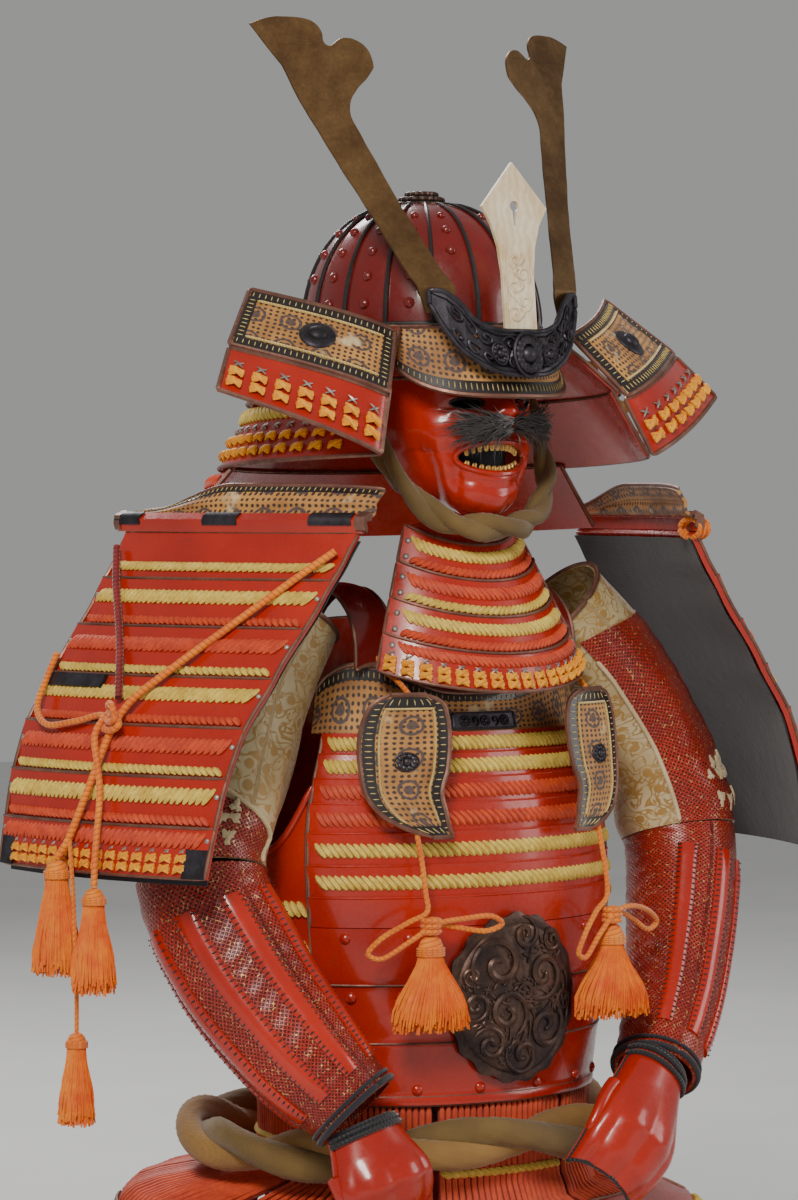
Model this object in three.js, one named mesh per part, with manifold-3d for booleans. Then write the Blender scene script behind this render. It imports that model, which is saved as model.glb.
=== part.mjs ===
// A suit of samurai armour, worn form with no wearer: helmet, face guard, throat guard, cuirass with its
// skirt, shoulder guards, armoured sleeves with hand guards, and a cloth sash.
// Millimetres, +Z up. The front faces -Y and the wearer's left is +X. The origin is on the torso's axis
// at the height of the wearer's shoulders, where the cuirass hangs from its two straps.
// Angles that go round the body are in degrees from the front, positive towards the wearer's left.

import * as THREE from "three";
import { mergeVertices } from "three/addons/utils/BufferGeometryUtils.js";
import Module from "manifold-3d";

const wasm = await Module();
wasm.setup();

// Driving dimensions
const LEATHER = 3; // helmet plates, leather and lacquered lames
const CLOTH = 3; // padded sleeve cloth
const SHEET = 2.4; // brass sheet of horns and crest
const SEAM = 0.6; // gap between neighbouring pieces
const LACE = 3; // how far a row of lacing stands above its lame
const BOWL = { halfWidth: 106, halfLength: 122, rimZ: 218, height: 120, centreY: 6, plates: 16 };
const RIVET = { radius: 6, height: 9, sunk: 4, rows: [0.18, 0.37, 0.57] };
const THROAT_CENTRE_Y = -14;
const CUIRASS_CENTRE_Y = 0;

// Colours: lacquer and lacing families, linear enough for a plain structural view
const FINISH = {
  red: { color: 0xa8230f, roughness: 0.3, metalness: 0 },
  darkRed: { color: 0x6d120a, roughness: 0.3, metalness: 0 },
  leather: { color: 0xb98748, roughness: 0.7, metalness: 0 },
  bronze: { color: 0x6f5530, roughness: 0.5, metalness: 0.8 },
  iron: { color: 0x3d3a40, roughness: 0.5, metalness: 0.8 },
  ivory: { color: 0xd8c39a, roughness: 0.5, metalness: 0 },
  orange: { color: 0xe0700f, roughness: 0.9, metalness: 0 },
  olive: { color: 0x5e4a24, roughness: 0.9, metalness: 0 },
  brocade: { color: 0xb59a58, roughness: 0.7, metalness: 0 },
  black: { color: 0x14131a, roughness: 0.8, metalness: 0 },
};

const armour = new THREE.Group();
armour.name = "samurai_armour";

function add(name, finish, geometry) {
  const mesh = new THREE.Mesh(geometry, new THREE.MeshStandardMaterial(FINISH[finish]));
  mesh.name = name;
  armour.add(mesh);
  return mesh;
}

// Numbers and tables
const rad = (degrees) => (degrees * Math.PI) / 180;
const mix = (a, b, t) => a + (b - a) * t;
const smooth = (t) => t * t * (3 - 2 * t);
const clamp01 = (t) => Math.min(1, Math.max(0, t));
const bump = (x, centre, half) => Math.max(0, Math.cos(Math.min(1,
  Math.abs(x - centre) / half) * (Math.PI / 2)));
const point = (x, y, z) => new THREE.Vector3(x, y, z);

// Reads a table whose first column is the key: the other columns at that key, smoothly interpolated.
function lookUp(table, key) {
  const rows = table[0][0] < table[table.length - 1][0] ? table : [...table].reverse();
  if (key <= rows[0][0]) return rows[0].slice(1);
  for (let i = 1; i < rows.length; i++) {
    if (key <= rows[i][0]) {
      const t = (key - rows[i - 1][0]) / (rows[i][0] - rows[i - 1][0]);
      return rows[i].slice(1).map((value, k) => mix(rows[i - 1][k + 1], value, t));
    }
  }
  return rows[rows.length - 1].slice(1);
}

const steps = (count, from = 0, to = 1) =>
  Array.from({ length: count + 1 }, (_, i) => mix(from, to, i / count));

// A closed mesh from triangles given as point triples, turned outwards
function solid(triangles) {
  const sound = triangles.filter(([a, b, c]) =>
    a.distanceTo(b) > 1e-3 && b.distanceTo(c) > 1e-3 && c.distanceTo(a) > 1e-3);
  let volume = 0;
  for (const [a, b, c] of sound) volume += a.dot(b.clone().cross(c));
  const facing = volume < 0 ? sound.map(([a, b, c]) => [a, c, b]) : sound;
  const geometry = new THREE.BufferGeometry().setFromPoints(facing.flat());
  geometry.computeVertexNormals();
  return geometry;
}

// Triangles between two rows of points that may differ in count, always across the shorter way
function zip(outer, inner, flip) {
  const made = [];
  let i = 0;
  let j = 0;
  while (i < outer.length - 1 || j < inner.length - 1) {
    const outerLeft = i < outer.length - 1;
    const innerLeft = j < inner.length - 1;
    const outerIsNearer = outerLeft && innerLeft &&
      outer[i + 1].distanceTo(inner[j]) <= outer[i].distanceTo(inner[j + 1]);
    if (!innerLeft || outerIsNearer) {
      made.push([outer[i + 1], outer[i], inner[j]]);
      i++;
    } else {
      made.push([inner[j], inner[j + 1], outer[i]]);
      j++;
    }
  }
  return flip ? made.map(([a, b, c]) => [a, c, b]) : made;
}

// A wall from an outer and an inner grid of points, each a list of rows. A closed wall runs round on itself.
function shell(outer, inner, closed = false) {
  const made = [];
  for (const [grid, flip] of [[outer, false], [inner, true]]) {
    for (let r = 0; r < grid.length - 1; r++) {
      const columns = grid[r].length;
      for (let c = 0; c < (closed ? columns : columns - 1); c++) {
        const d = (c + 1) % columns;
        const corners = [grid[r][c], grid[r][d], grid[r + 1][d], grid[r + 1][c]];
        const pair = [[corners[0], corners[1], corners[2]], [corners[0], corners[2], corners[3]]];
        made.push(...(flip ? pair.map(([p, q, s]) => [p, s, q]) : pair));
      }
    }
  }
  const round = (row) => (closed ? [...row, row[0]] : row);
  const last = (grid) => grid[grid.length - 1];
  made.push(...zip(round(outer[0]), round(inner[0]), false),
    ...zip(round(last(outer)), round(last(inner)), true));
  if (!closed) {
    const column = (grid, end) => grid.map((row) => (end ? row[row.length - 1] : row[0]));
    made.push(...zip(column(outer, false), column(inner, false), true));
    made.push(...zip(column(outer, true), column(inner, true), false));
  }
  return solid(made);
}

// The unit normal of surface(u, v), on the side that away(point) points to
function normalOf(surface, u, v, away) {
  const h = 1e-3;
  const du = surface(u + h, v).sub(surface(u - h, v));
  const dv = surface(u, v + h).sub(surface(u, v - h));
  const normal = du.cross(dv).normalize();
  return normal.dot(away(surface(u, v))) < 0 ? normal.negate() : normal;
}

const fromAxis = (p) => point(p.x, p.y, 0);

// A point on an open curve, carried on straight past its two ends
function along(curve, v) {
  const t = clamp01(v);
  return curve.getPoint(t).addScaledVector(curve.getTangent(t), (v - t) * 100);
}

// A wall that follows surface(u, v): the outer face raised by raise(u, v), the inner one plain and coarser.
function wall({ us, vs, innerUs = us, innerVs = vs, surface, away = fromAxis, raise = () => 0, thickness,
  closed = false }) {
  const grid = (rows, columns, offset) =>
    rows.map((v) => columns.map((u) => surface(u, v).addScaledVector(normalOf(surface, u, v, away),
      offset(u, v))));
  return shell(grid(vs, us, raise), grid(innerVs, innerUs, () => -thickness), closed);
}

// Joins and cuts closed meshes
function toManifold(geometry) {
  const bare = geometry.index ? geometry.toNonIndexed() : geometry.clone();
  bare.deleteAttribute("normal");
  bare.deleteAttribute("uv");
  const merged = mergeVertices(bare, 1e-3);
  return new wasm.Manifold(new wasm.Mesh({
    numProp: 3,
    vertProperties: merged.attributes.position.array,
    triVerts: new Uint32Array(merged.index.array),
  }));
}

function fromManifold(manifold) {
  const mesh = manifold.getMesh();
  const positions = new Float32Array(mesh.numVert * 3);
  for (let i = 0; i < mesh.numVert; i++) {
    positions.set(mesh.vertProperties.subarray(i * mesh.numProp, i * mesh.numProp + 3), i * 3);
  }
  const geometry = new THREE.BufferGeometry();
  geometry.setAttribute("position", new THREE.BufferAttribute(positions, 3));
  geometry.setIndex(new THREE.BufferAttribute(mesh.triVerts, 1));
  geometry.computeVertexNormals();
  return geometry;
}

const join = (geometries) => fromManifold(geometries.map(toManifold).reduce((a, b) => a.add(b)));
const cut = (geometry, tools) =>
  fromManifold(tools.map(toManifold).reduce((a, b) => a.subtract(b), toManifold(geometry)));

// A solid of rings: every ring has the same number of points, and both ends are capped by a fan.
function loft(rings) {
  const made = [];
  const count = rings[0].length;
  for (let r = 0; r < rings.length - 1; r++) {
    for (let c = 0; c < count; c++) {
      const d = (c + 1) % count;
      made.push([rings[r][c], rings[r][d], rings[r + 1][d]], [rings[r][c], rings[r + 1][d], rings[r + 1][c]]);
    }
  }
  for (const [ring, flip] of [[rings[0], true], [rings[rings.length - 1], false]]) {
    for (let c = 1; c < count - 1; c++) {
      made.push(flip ? [ring[0], ring[c + 1], ring[c]] : [ring[0], ring[c], ring[c + 1]]);
    }
  }
  return solid(made);
}

// Rows of a stepped wall of overlapping lames. Each lame's top edge stands out over the one above it,
// and its bands of lacing are raised. Bands are [from, to] in shares of a lame's height.
function lameRows({ count, overlap, bands, from = 0, to = 1, margin = true }) {
  const rows = [];
  const height = (to - from) / count;
  for (let i = 0; i < count; i++) {
    const at = (share) => from + height * (i + share);
    const slope = (share) => overlap * (1 - 0.7 * share);
    rows.push([at(0.01), slope(0)]);
    bands.forEach(([low, high], k) => {
      if (margin && k === 0) rows.push([at(low - 0.05), slope(low)]);
      rows.push([at(low), slope(low) + LACE], [at(high), slope(high) + LACE]);
      if (k < bands.length - 1 || high < 0.85) rows.push([at(high + 0.05), slope(high)]);
    });
    if (i === count - 1) rows.push([to, slope(1)]);
  }
  return rows;
}

// Helmet bowl
function bowlSurface(u, v) {
  const lift = rad(mix(0, 85, v));
  const spread = Math.cos(lift) ** 0.8;
  const turn = rad(360 * u);
  return point(
    BOWL.halfWidth * spread * Math.sin(turn),
    BOWL.centreY - BOWL.halfLength * spread * Math.cos(turn),
    BOWL.rimZ + BOWL.height * Math.sin(lift));
}

const fromBowl = (p) => point(p.x, p.y - BOWL.centreY, p.z - BOWL.rimZ + 30);

// A boss standing on a surface: radius, height and how deep its foot is sunk; a tip of 0 makes a point
function rivet(surface, away, u, v, { radius, height, sunk = 2, tip = 0.5 }, sides = 6) {
  const normal = normalOf(surface, u, v, away);
  const dome = new THREE.CylinderGeometry(radius * tip, radius, height, sides);
  const base = surface(u, v).addScaledVector(normal, height / 2 - sunk);
  dome.applyQuaternion(new THREE.Quaternion().setFromUnitVectors(point(0, 1, 0), normal));
  return dome.translate(base.x, base.y, base.z);
}

function helmetBowl() {
  const plates = BOWL.plates;
  const ribHalf = 0.006;
  const us = [];
  for (let k = 0; k < plates; k++) {
    us.push((k + 0.5) / plates - ribHalf, (k + 0.5) / plates, (k + 0.5) / plates + ribHalf);
  }
  const isRib = (u) => Math.abs(((u * plates) % 1) - 0.5) < 1e-6;
  const bowl = wall({
    us, vs: [0, 0.09, 0.27, 0.47, 0.67, 1], innerUs: steps(16).slice(0, -1), innerVs: [0, 0.3, 0.65, 1],
    surface: bowlSurface, away: fromBowl, raise: (u) => (isRib(u) ? 2.5 : 0), thickness: LEATHER,
      closed: true,
  });
  const rivets = [];
  for (let k = 2; k < plates - 1; k++) {
    for (const v of RIVET.rows) rivets.push(rivet(bowlSurface, fromBowl, k / plates, v,
      { ...RIVET, tip: 0 }, 4));
  }
  return join([bowl, finial(), ...rivets]);
}

// Ring at the bowl's crown, with an open hole
function finial() {
  const profile = [[10, 0], [24, 0], [26, 5], [19, 8], [16, 12], [10, 12], [10, 0]];
  const ring = new THREE.LatheGeometry(profile.map(([r, z]) => new THREE.Vector2(r, z)), 12);
  return ring.rotateX(Math.PI / 2).translate(0, BOWL.centreY, BOWL.rimZ + BOWL.height - 3);
}
add("helmet_bowl", "red", helmetBowl());

// Visor: a sloping brim from the bowl's front rim
const VISOR = { halfAngle: 56, rootZ: 217.4, rimZ: 153, rootOut: 1.5, rimWidth: 128, rimLength: 158,
  endShare: 0.4 };
function visorSurface(u, v) {
  const angle = mix(-VISOR.halfAngle, VISOR.halfAngle, u);
  const down = v * mix(1, VISOR.endShare, (Math.abs(angle) / VISOR.halfAngle) ** 4);
  const a = mix(BOWL.halfWidth + VISOR.rootOut, VISOR.rimWidth, down);
  const b = mix(BOWL.halfLength + VISOR.rootOut, VISOR.rimLength, down * (1.2 - 0.2 * down));
  return point(a * Math.sin(rad(angle)), BOWL.centreY - b * Math.cos(rad(angle)),
    mix(VISOR.rootZ, VISOR.rimZ, down));
}
add("visor", "leather", wall({
  us: steps(14), vs: [0, 0.84, 0.88, 1], innerUs: steps(10), innerVs: steps(2),
  surface: visorSurface, raise: (u, v) => (v > 0.85 ? 1.6 : 0), thickness: LEATHER,
}));

// Neck guard: three flared lames round the back, each tucked under the one above
// top and bottom: half width, half depth, centre's y, height; the rings sink a little towards the back
const NECK_TILT = 0.052;
const NECK_LAMES = [
  { name: "neck_lame_1", top: [112.3, 128.8, 6, 217.4], bottom: [176, 176, -14, 152], halfAngle: 131,
    bands: [[0.55, 0.85]] },
  { name: "neck_lame_2", top: [169.6, 169.6, -14, 153.6], bottom: [203, 203, -14, 92], halfAngle: 131,
    bands: [[0.16, 0.38], [0.55, 0.88]] },
  { name: "neck_lame_3", top: [196.8, 196.8, -14, 93.2], bottom: [250, 250, -14, 34],
    halfAngle: 131 * 4 / 7, bands: [[0.14, 0.4], [0.55, 0.88]] },
];
function neckSurface(lame, u, v) {
  const angle = rad(180 + mix(-lame.halfAngle, lame.halfAngle, u));
  const [a, b, y, z] = lame.top.map((value, k) => mix(value, lame.bottom[k], v));
  const p = point(a * Math.sin(angle), y - b * Math.cos(angle), z);
  return p.setZ(z - NECK_TILT * (p.y + 14) * clamp01(v * 2 + (lame === NECK_LAMES[0] ? 0 : 1)));
}
for (const lame of NECK_LAMES) {
  const rows = [[0, 0], ...lame.bands.flatMap(([low, high]) =>
    [[low, 0], [low + 0.05, LACE], [high - 0.05, LACE], [high, 0]]), [1, 0]];
  const raised = new Map(rows);
  add(lame.name, "red", wall({
    us: steps(lame.halfAngle > 90 ? 14 : 8), vs: rows.map(([v]) => v), innerVs: [0, 1],
    surface: (u, v) => neckSurface(lame, u, v), raise: (u, v) => raised.get(v), thickness: LEATHER,
    away: (p) => point(p.x, p.y + 14, 60),
  }));
}

// Turn-backs: the front ends of the two upper lames, folded outwards and back
// corners: fold top, fold bottom, free end top, free end bottom, for the wearer's left
const TURN_BACKS = [
  { name: "turnback_upper", finish: "leather", edge: 1.6, bow: 14,
    corners: [[100.5, -94.5, 212], [137, -136, 155], [206, -12, 251], [257, -56, 199]] },
  { name: "turnback_lower", finish: "red", edge: 0, bow: 15,
    corners: [[136, -133, 152], [155.5, -151, 99.5], [258, -58, 195.5], [287, -84, 157]] },
];
function turnBackSurface({ corners, bow }, side, u, v) {
  const [foldTop, foldBottom, freeTop, freeBottom] = corners.map(([x, y, z]) => point(side * x, y, z));
  const fold = foldTop.clone().lerp(foldBottom, v);
  const free = freeTop.clone().lerp(freeBottom, v);
  const arch = Math.sin(Math.PI * clamp01(u) ** 0.7) * bow;
  return fold.lerp(free, u).add(point(side * 0.35 * arch, -0.75 * arch, 0.2 * arch));
}
for (const side of [-1, 1]) {
  for (const back of TURN_BACKS) {
    const edge = back.edge ? [0, 0.13, 0.15, 0.85, 0.87, 1] : [0, 0.3, 0.34, 0.86, 0.9, 1];
    const border = (u, v) => v < 0.14 || v > 0.86 || u < 0.065 || u > 0.935;
    add(back.name + (side < 0 ? "_right" : "_left"), back.finish, wall({
      us: [0, 0.06, 0.07, 0.3, 0.55, 0.78, 0.93, 0.94, 1], vs: edge, innerUs: steps(5), innerVs: [0, 1],
      surface: (u, v) => turnBackSurface(back, side, u, v),
      raise: (u, v) => (back.edge ? (border(u, v) ? back.edge : 0) : (v > 0.32 && v < 0.88 ? LACE : 0)),
      away: () => point(side * 0.4, -1, 0.5), thickness: LEATHER,
    }));
  }
}

// Crest holder: a crescent plate with rosettes, openwork cut through
const HOLDER = { halfSpan: 83, frontY: -160, sweep: 0.0038 };
// columns: distance from the middle, bottom height, top height
const HOLDER_OUTLINE = [[0, 172, 212], [26, 174, 213], [46, 183, 221], [61, 195, 240], [72, 212, 248],
  [83, 236, 249]];
const HOLDER_PEG = { z: 180, front: -158, back: -141.6 }; // stands the holder off the visor
function holderSurface(u, v) {
  const x = mix(-HOLDER.halfSpan, HOLDER.halfSpan, u);
  const [low, high] = lookUp(HOLDER_OUTLINE, Math.abs(x));
  const z = mix(low, high, v);
  return point(x, HOLDER.frontY + HOLDER.sweep * x * x + (z - 174) * 0.16, z);
}
function holder() {
  const towardsFront = () => point(0, -1, 0);
  const plate = wall({
    us: steps(12), vs: [0, 0.12, 0.17, 0.83, 0.88, 1], innerUs: steps(9), innerVs: [0, 1],
      surface: holderSurface,
    away: towardsFront, raise: (u, v) => (v < 0.14 || v > 0.86 ? 2 : 0), thickness: LEATHER,
  });
  const rosettes = [[0.5, 0.42, 17, 7], [0.34, 0.5, 9.5, 6], [0.66, 0.5, 9.5, 6]];
  const bosses = rosettes.map(([u, v, radius, height]) =>
    rivet(holderSurface, towardsFront, u, v, { radius, height }, radius > 12 ? 8 : 6));
  const peg = new THREE.CylinderGeometry(5, 5, HOLDER_PEG.back - HOLDER_PEG.front, 6);
  peg.translate(0, (HOLDER_PEG.back + HOLDER_PEG.front) / 2, HOLDER_PEG.z);
  const holes = [];
  for (const u of [0.13, 0.22]) {
    for (const v of [0.32, 0.62]) {
      for (const share of [u, 1 - u]) {
        const centre = holderSurface(share, v);
        const hole = new THREE.CylinderGeometry(3.4, 3.4, 30, 4);
        holes.push(hole.translate(centre.x, centre.y, centre.z));
      }
    }
  }
  return cut(join([plate, peg, ...bosses]), holes);
}
add("crest_holder", "iron", holder());

// Horns: flat brass blades that spread and lean back from the holder's two ends
const HORN = { rootX: 72, rootY: -121, rootZ: 252.5, outX: 0.95, outY: 0.31, lean: 0.53,
  leanGrowth: -0.00038 };
function hornPoint(side, across, up) {
  const back = HORN.lean * up + HORN.leanGrowth * up * up;
  return point(side * (HORN.rootX + HORN.outX * across), HORN.rootY + HORN.outY * across + back,
    HORN.rootZ + up);
}
// columns: height, inner edge, outer edge; the head above is a separate outline
const HORN_BLADE = [
  [-2.9, -19, 20], [20, -6, 28], [49, 4, 38], [80, 15, 49], [110, 24, 61], [140, 33.5, 72], [163, 39.5, 81],
  [175, 36, 85.5], [187, 26.4, 89],
];
const HORN_HEAD = [[197, 15, 91.5], [207, 6.6, 94.5]];
// columns: across, height of the head's edge, from the inner tip over two lobes with a cleft between them
// to the outer tip and down its back
const HORN_TOP = [
  [6.6, 207], [7, 222], [14, 230], [24, 235], [32, 234], [41, 231], [48.7, 229], [50, 240], [56, 250],
  [72, 253], [90.7, 253.6], [107, 250], [118, 246], [103, 225],
];
function horn(side) {
  const blade = [...HORN_BLADE, ...HORN_HEAD];
  const shape = new THREE.Shape();
  shape.moveTo(blade[0][1], blade[0][0]);
  blade.slice(1).forEach(([up, inner]) => shape.lineTo(inner, up));
  HORN_TOP.slice(1).forEach(([across, up]) => shape.lineTo(across, up));
  [...blade].reverse().forEach(([up, , outer]) => shape.lineTo(outer, up));
  const flat = new THREE.ExtrudeGeometry(shape, { depth: SHEET, bevelEnabled: false });
  const position = flat.attributes.position;
  const facing = point(-HORN.outY * side, -HORN.outX, 0);
  for (let i = 0; i < position.count; i++) {
    const p = hornPoint(side, position.getX(i), position.getY(i)).addScaledVector(facing, position.getZ(i));
    position.setXYZ(i, p.x, p.y, p.z);
  }
  const triangles = [];
  for (let i = 0; i < position.count; i += 3) {
    triangles.push([0, 1, 2].map((k) => point().fromBufferAttribute(position, i + k)));
  }
  return solid(triangles);
}
add("horn_right", "bronze", horn(-1));
add("horn_left", "bronze", horn(1));

// Crest blade: a broad spear point with a drop-shaped slot, on a short foot behind the holder
const CREST = { backY: -149.6, baseZ: 216, lean: 0.1 };
function crestBlade() {
  const shape = new THREE.Shape();
  const half = [[18, -2.6], [18, 49], [21, 74], [27, 94], [37, 111], [0, 153]];
  shape.moveTo(-half[0][0], half[0][1]);
  half.forEach(([x, z]) => shape.lineTo(x, z));
  [...half].reverse().slice(1, -1).forEach(([x, z]) => shape.lineTo(-x, z));
  const slot = new THREE.Path();
  slot.moveTo(-1.5, 94);
  slot.lineTo(1.5, 94);
  slot.absarc(0, 112, 5, rad(-60), rad(240), false);
  shape.holes.push(slot);
  const flat = new THREE.ExtrudeGeometry(shape, { depth: SHEET + 1, bevelEnabled: false, curveSegments: 8 });
  return flat.rotateX(Math.PI / 2 - CREST.lean).translate(0, CREST.backY, CREST.baseZ);
}
add("crest_blade", "ivory", crestBlade());

// Face guard: a hollow shell with open mouth and eyes
// columns: height, half width, depth to the front
const FACE_OUTLINE = [[40, 34, 66], [46, 46, 84], [60, 58, 98], [84, 68, 104], [108, 76, 102],
  [132, 80, 104], [158, 82, 106], [172, 82, 104]];
const FACE = { centreY: -14, halfAngle: 84, lowZ: 42, highZ: 170 };
function faceSurface(u, v) {
  const angle = mix(-FACE.halfAngle, FACE.halfAngle, u);
  const [a, b] = lookUp(FACE_OUTLINE, mix(FACE.lowZ, FACE.highZ, v));
  const z = mix(FACE.lowZ, FACE.highZ, v) + clamp01(0.5 - v) * 0.5 * Math.abs(angle);
  return point(a * Math.sin(rad(angle)), FACE.centreY - b * Math.cos(rad(angle)), z);
}
// columns: angle, share of height, half width in degrees, half height in shares, height
const FACE_FORMS = [
  [0, 0.74, 15, 0.13, 20], [0, 0.9, 9, 0.16, 10], [-13, 0.7, 8, 0.08, 7], [13, 0.7, 8, 0.08, 7],
  [-42, 0.62, 22, 0.16, 7], [42, 0.62, 22, 0.16, 7], [0, 0.12, 30, 0.17, 9], [0, 0.56, 38, 0.07, 5],
  [-40, 0.36, 7, 0.26, 5], [40, 0.36, 7, 0.26, 5],
];
function faceRaise(u, v) {
  const angle = mix(-FACE.halfAngle, FACE.halfAngle, u);
  return FACE_FORMS.reduce((sum, [at, share, halfAngle, halfShare, height]) =>
    sum + height * bump(angle, at, halfAngle) * bump(v, share, halfShare), 0);
}
function ovalCutter(x, z, halfWidth, halfHeight, quarter) {
  const outline = Array.from({ length: quarter * 2 }, (_, k) => {
    const around = (k / quarter) * Math.PI;
    return new THREE.Vector2(x + halfWidth * Math.cos(around), z + halfHeight * Math.sin(around));
  });
  const tool = new THREE.ExtrudeGeometry(new THREE.Shape(outline), { depth: 90, bevelEnabled: false });
  return tool.rotateX(Math.PI / 2).translate(0, -70, 0);
}
function faceGuard() {
  const skin = wall({
    us: steps(16), vs: steps(12), innerUs: steps(9), innerVs: steps(5), surface: faceSurface,
    raise: faceRaise, thickness: LEATHER,
  });
  return cut(skin, [ovalCutter(0, 97, 37, 13.5, 7), ovalCutter(-31, 147, 12, 3.6, 4),
    ovalCutter(31, 147, 12, 3.6, 4)]);
}
add("face_guard", "red", faceGuard());

// Moustache: two tapered locks of hair that meet over the lip
function moustache() {
  const rings = [];
  // columns: x, forward of the face's centre, height, half height, half depth
  const table = [[0, 125.6, 127, 6, 6], [18, 124.6, 128, 9, 6.5], [38, 115.6, 124, 9, 7],
    [55, 103.6, 119, 8, 6], [66, 92.6, 115, 4, 4], [72, 85.6, 112, 1.5, 1.5]];
  const whole = [...[...table].reverse().map(([x, ...rest]) => [-x, ...rest]), ...table.slice(1)];
  for (const [x, forward, z, halfHeight, halfDepth] of whole) {
    const turn = Math.atan2(x, forward);
    rings.push(Array.from({ length: 6 }, (_, k) => {
      const around = (k / 6) * Math.PI * 2;
      const out = halfDepth * Math.cos(around);
      return point(x + out * Math.sin(turn), FACE.centreY - forward - out * Math.cos(turn),
        z + halfHeight * Math.sin(around));
    }));
  }
  return loft(rings);
}
add("moustache", "black", moustache());

// Padded rolls of cloth along a curve. Ring radii come from a table, with a twist for wound cloth.
function roll({ curve, closed = false, count, sides, radius, lobes = 0, depth = 0, turns = 0, squash = 1 }) {
  const rings = [];
  for (let i = 0; i < (closed ? count : count + 1); i++) {
    const t = i / count;
    const centre = curve.getPoint(t);
    const tangent = curve.getTangent(t);
    const sideways = tangent.clone().cross(point(0, 0, 1)).normalize();
    const upwards = sideways.clone().cross(tangent).normalize();
    rings.push(Array.from({ length: sides }, (_, k) => {
      const around = (k / sides) * Math.PI * 2;
      const r = radius(t) * (1 + depth * Math.cos(lobes * (around + turns * t * Math.PI * 2)));
      return centre.clone()
        .addScaledVector(sideways, r * squash * Math.cos(around))
        .addScaledVector(upwards, r * Math.sin(around));
    }));
  }
  if (!closed) return loft(rings);
  const made = [];
  rings.forEach((ring, i) => {
    const next = rings[(i + 1) % rings.length];
    for (let k = 0; k < sides; k++) {
      const l = (k + 1) % sides;
      made.push([ring[k], ring[l], next[l]], [ring[k], next[l], next[k]]);
    }
  });
  return solid(made);
}

const chinRoute = [
  [-93, -12, 214.8], [-97, -26, 160], [-95, -54, 112], [-80, -84, 68], [-49, -101, 38], [-14, -112, 32],
  [26, -110, 33], [54, -97, 40], [82, -82, 70], [95, -54, 112], [97, -26, 160], [93, -12, 214.8],
];
add("chin_band", "olive", roll({
  curve: new THREE.CatmullRomCurve3(chinRoute.map((p) => point(...p))), count: 18, sides: 6,
  radius: (t) => 11 + 3 * bump(t, 0.5, 0.3), squash: 0.85,
}));

// Throat guard: a bib of four laced lames
// Its top narrows to a tongue that hangs from the face guard's lower edge.
const THROAT = { halfAngle: 57, topZ: 42.4, bottomZ: -119, topRadius: 70, bottomRadius: 140, endRise: 20 };
const THROAT_TONGUE = { share: 0.18, halfAngle: 25 };
function throatSurface(u, v) {
  const halfAngle = mix(THROAT_TONGUE.halfAngle, THROAT.halfAngle, clamp01(v / THROAT_TONGUE.share));
  const angle = mix(-halfAngle, halfAngle, u);
  const radius = mix(THROAT.topRadius, THROAT.bottomRadius, clamp01(v * 1.25 - 0.17 - 0.08 * v * v));
  const rise = THROAT.endRise * (angle / THROAT.halfAngle) ** 2;
  return point(radius * Math.sin(rad(angle)), THROAT_CENTRE_Y - radius * Math.cos(rad(angle)),
    mix(THROAT.topZ, THROAT.bottomZ, v) + rise);
}
function steppedWall(options, rows) {
  const raised = new Map(rows);
  const vs = rows.map(([v]) => v);
  return wall({ ...options, vs, raise: (u, v) => raised.get(v) ?? 0 });
}
add("throat_guard", "red", steppedWall({
  us: steps(9), innerUs: steps(7), innerVs: [0, 0.2, 0.46, 0.73, 1], surface: throatSurface, thickness: 2,
}, [[0, 0], ...lameRows({ count: 4, overlap: 4, bands: [[0.16, 0.48], [0.62, 0.9]],
  from: THROAT_TONGUE.share })]));

// Cuirass: sections round the torso
// columns: height, half width, half depth
const TORSO = [[-50, 148, 88], [-100, 154, 92], [-130, 158, 95], [-168, 166, 104], [-200, 178, 114],
  [-240, 188, 123], [-330, 190, 136], [-420, 180, 140], [-460, 173, 137], [-500, 168, 133]];
function torsoPoint(angle, z, out = 0) {
  const [a, b] = lookUp(TORSO, z);
  const back = Math.abs(angle) > 90 ? 12 * -Math.cos(rad(angle)) : 0;
  return point((a + out) * Math.sin(rad(angle)), CUIRASS_CENTRE_Y - (b + back + out) * Math.cos(rad(angle)),
    z);
}
// A panel of the cuirass between two angles, with its top edge given by topZ(angle)
function torsoPanel(fromAngle, toAngle, topZ, bottomZ) {
  return (u, v) => {
    const angle = mix(fromAngle, toAngle, u);
    return torsoPoint(angle, mix(topZ(angle), bottomZ, v));
  };
}
const FRONT_HALF = 64; // angle where the front meets the side plates
const BACK_HALF = 116; // angle where the side plates meet the back
const LACED_TOP = -158;
const LACED_BOTTOM = -334;
const RIM_Z = -498;

// Chest plate: leather-covered, dipped at the neck, with a rounded lobe on each side
const CHEST_TOP = [[0, -122], [16, -120], [30, -108], [42, -96], [54, -95], [64, -104], [72, -122]];
add("chest_plate", "leather", wall({
  us: steps(16), vs: [0, 0.1, 0.14, 1], innerUs: steps(12), innerVs: [0, 1],
  surface: torsoPanel(-70, 70, (angle) => lookUp(CHEST_TOP, Math.abs(angle))[0], LACED_TOP + 0.2),
  raise: (u, v) => (v < 0.12 ? 1.6 : 0), thickness: LEATHER,
}));
add("cuirass_front_laced", "red", steppedWall({
  us: steps(10), innerUs: steps(10), innerVs: [0.01, 0.24, 0.47, 0.73, 1],
    surface: torsoPanel(-FRONT_HALF, FRONT_HALF, () => LACED_TOP, LACED_BOTTOM), thickness: LEATHER,
}, lameRows({ count: 6, overlap: 3, bands: [[0.22, 0.68]] })));

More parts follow.
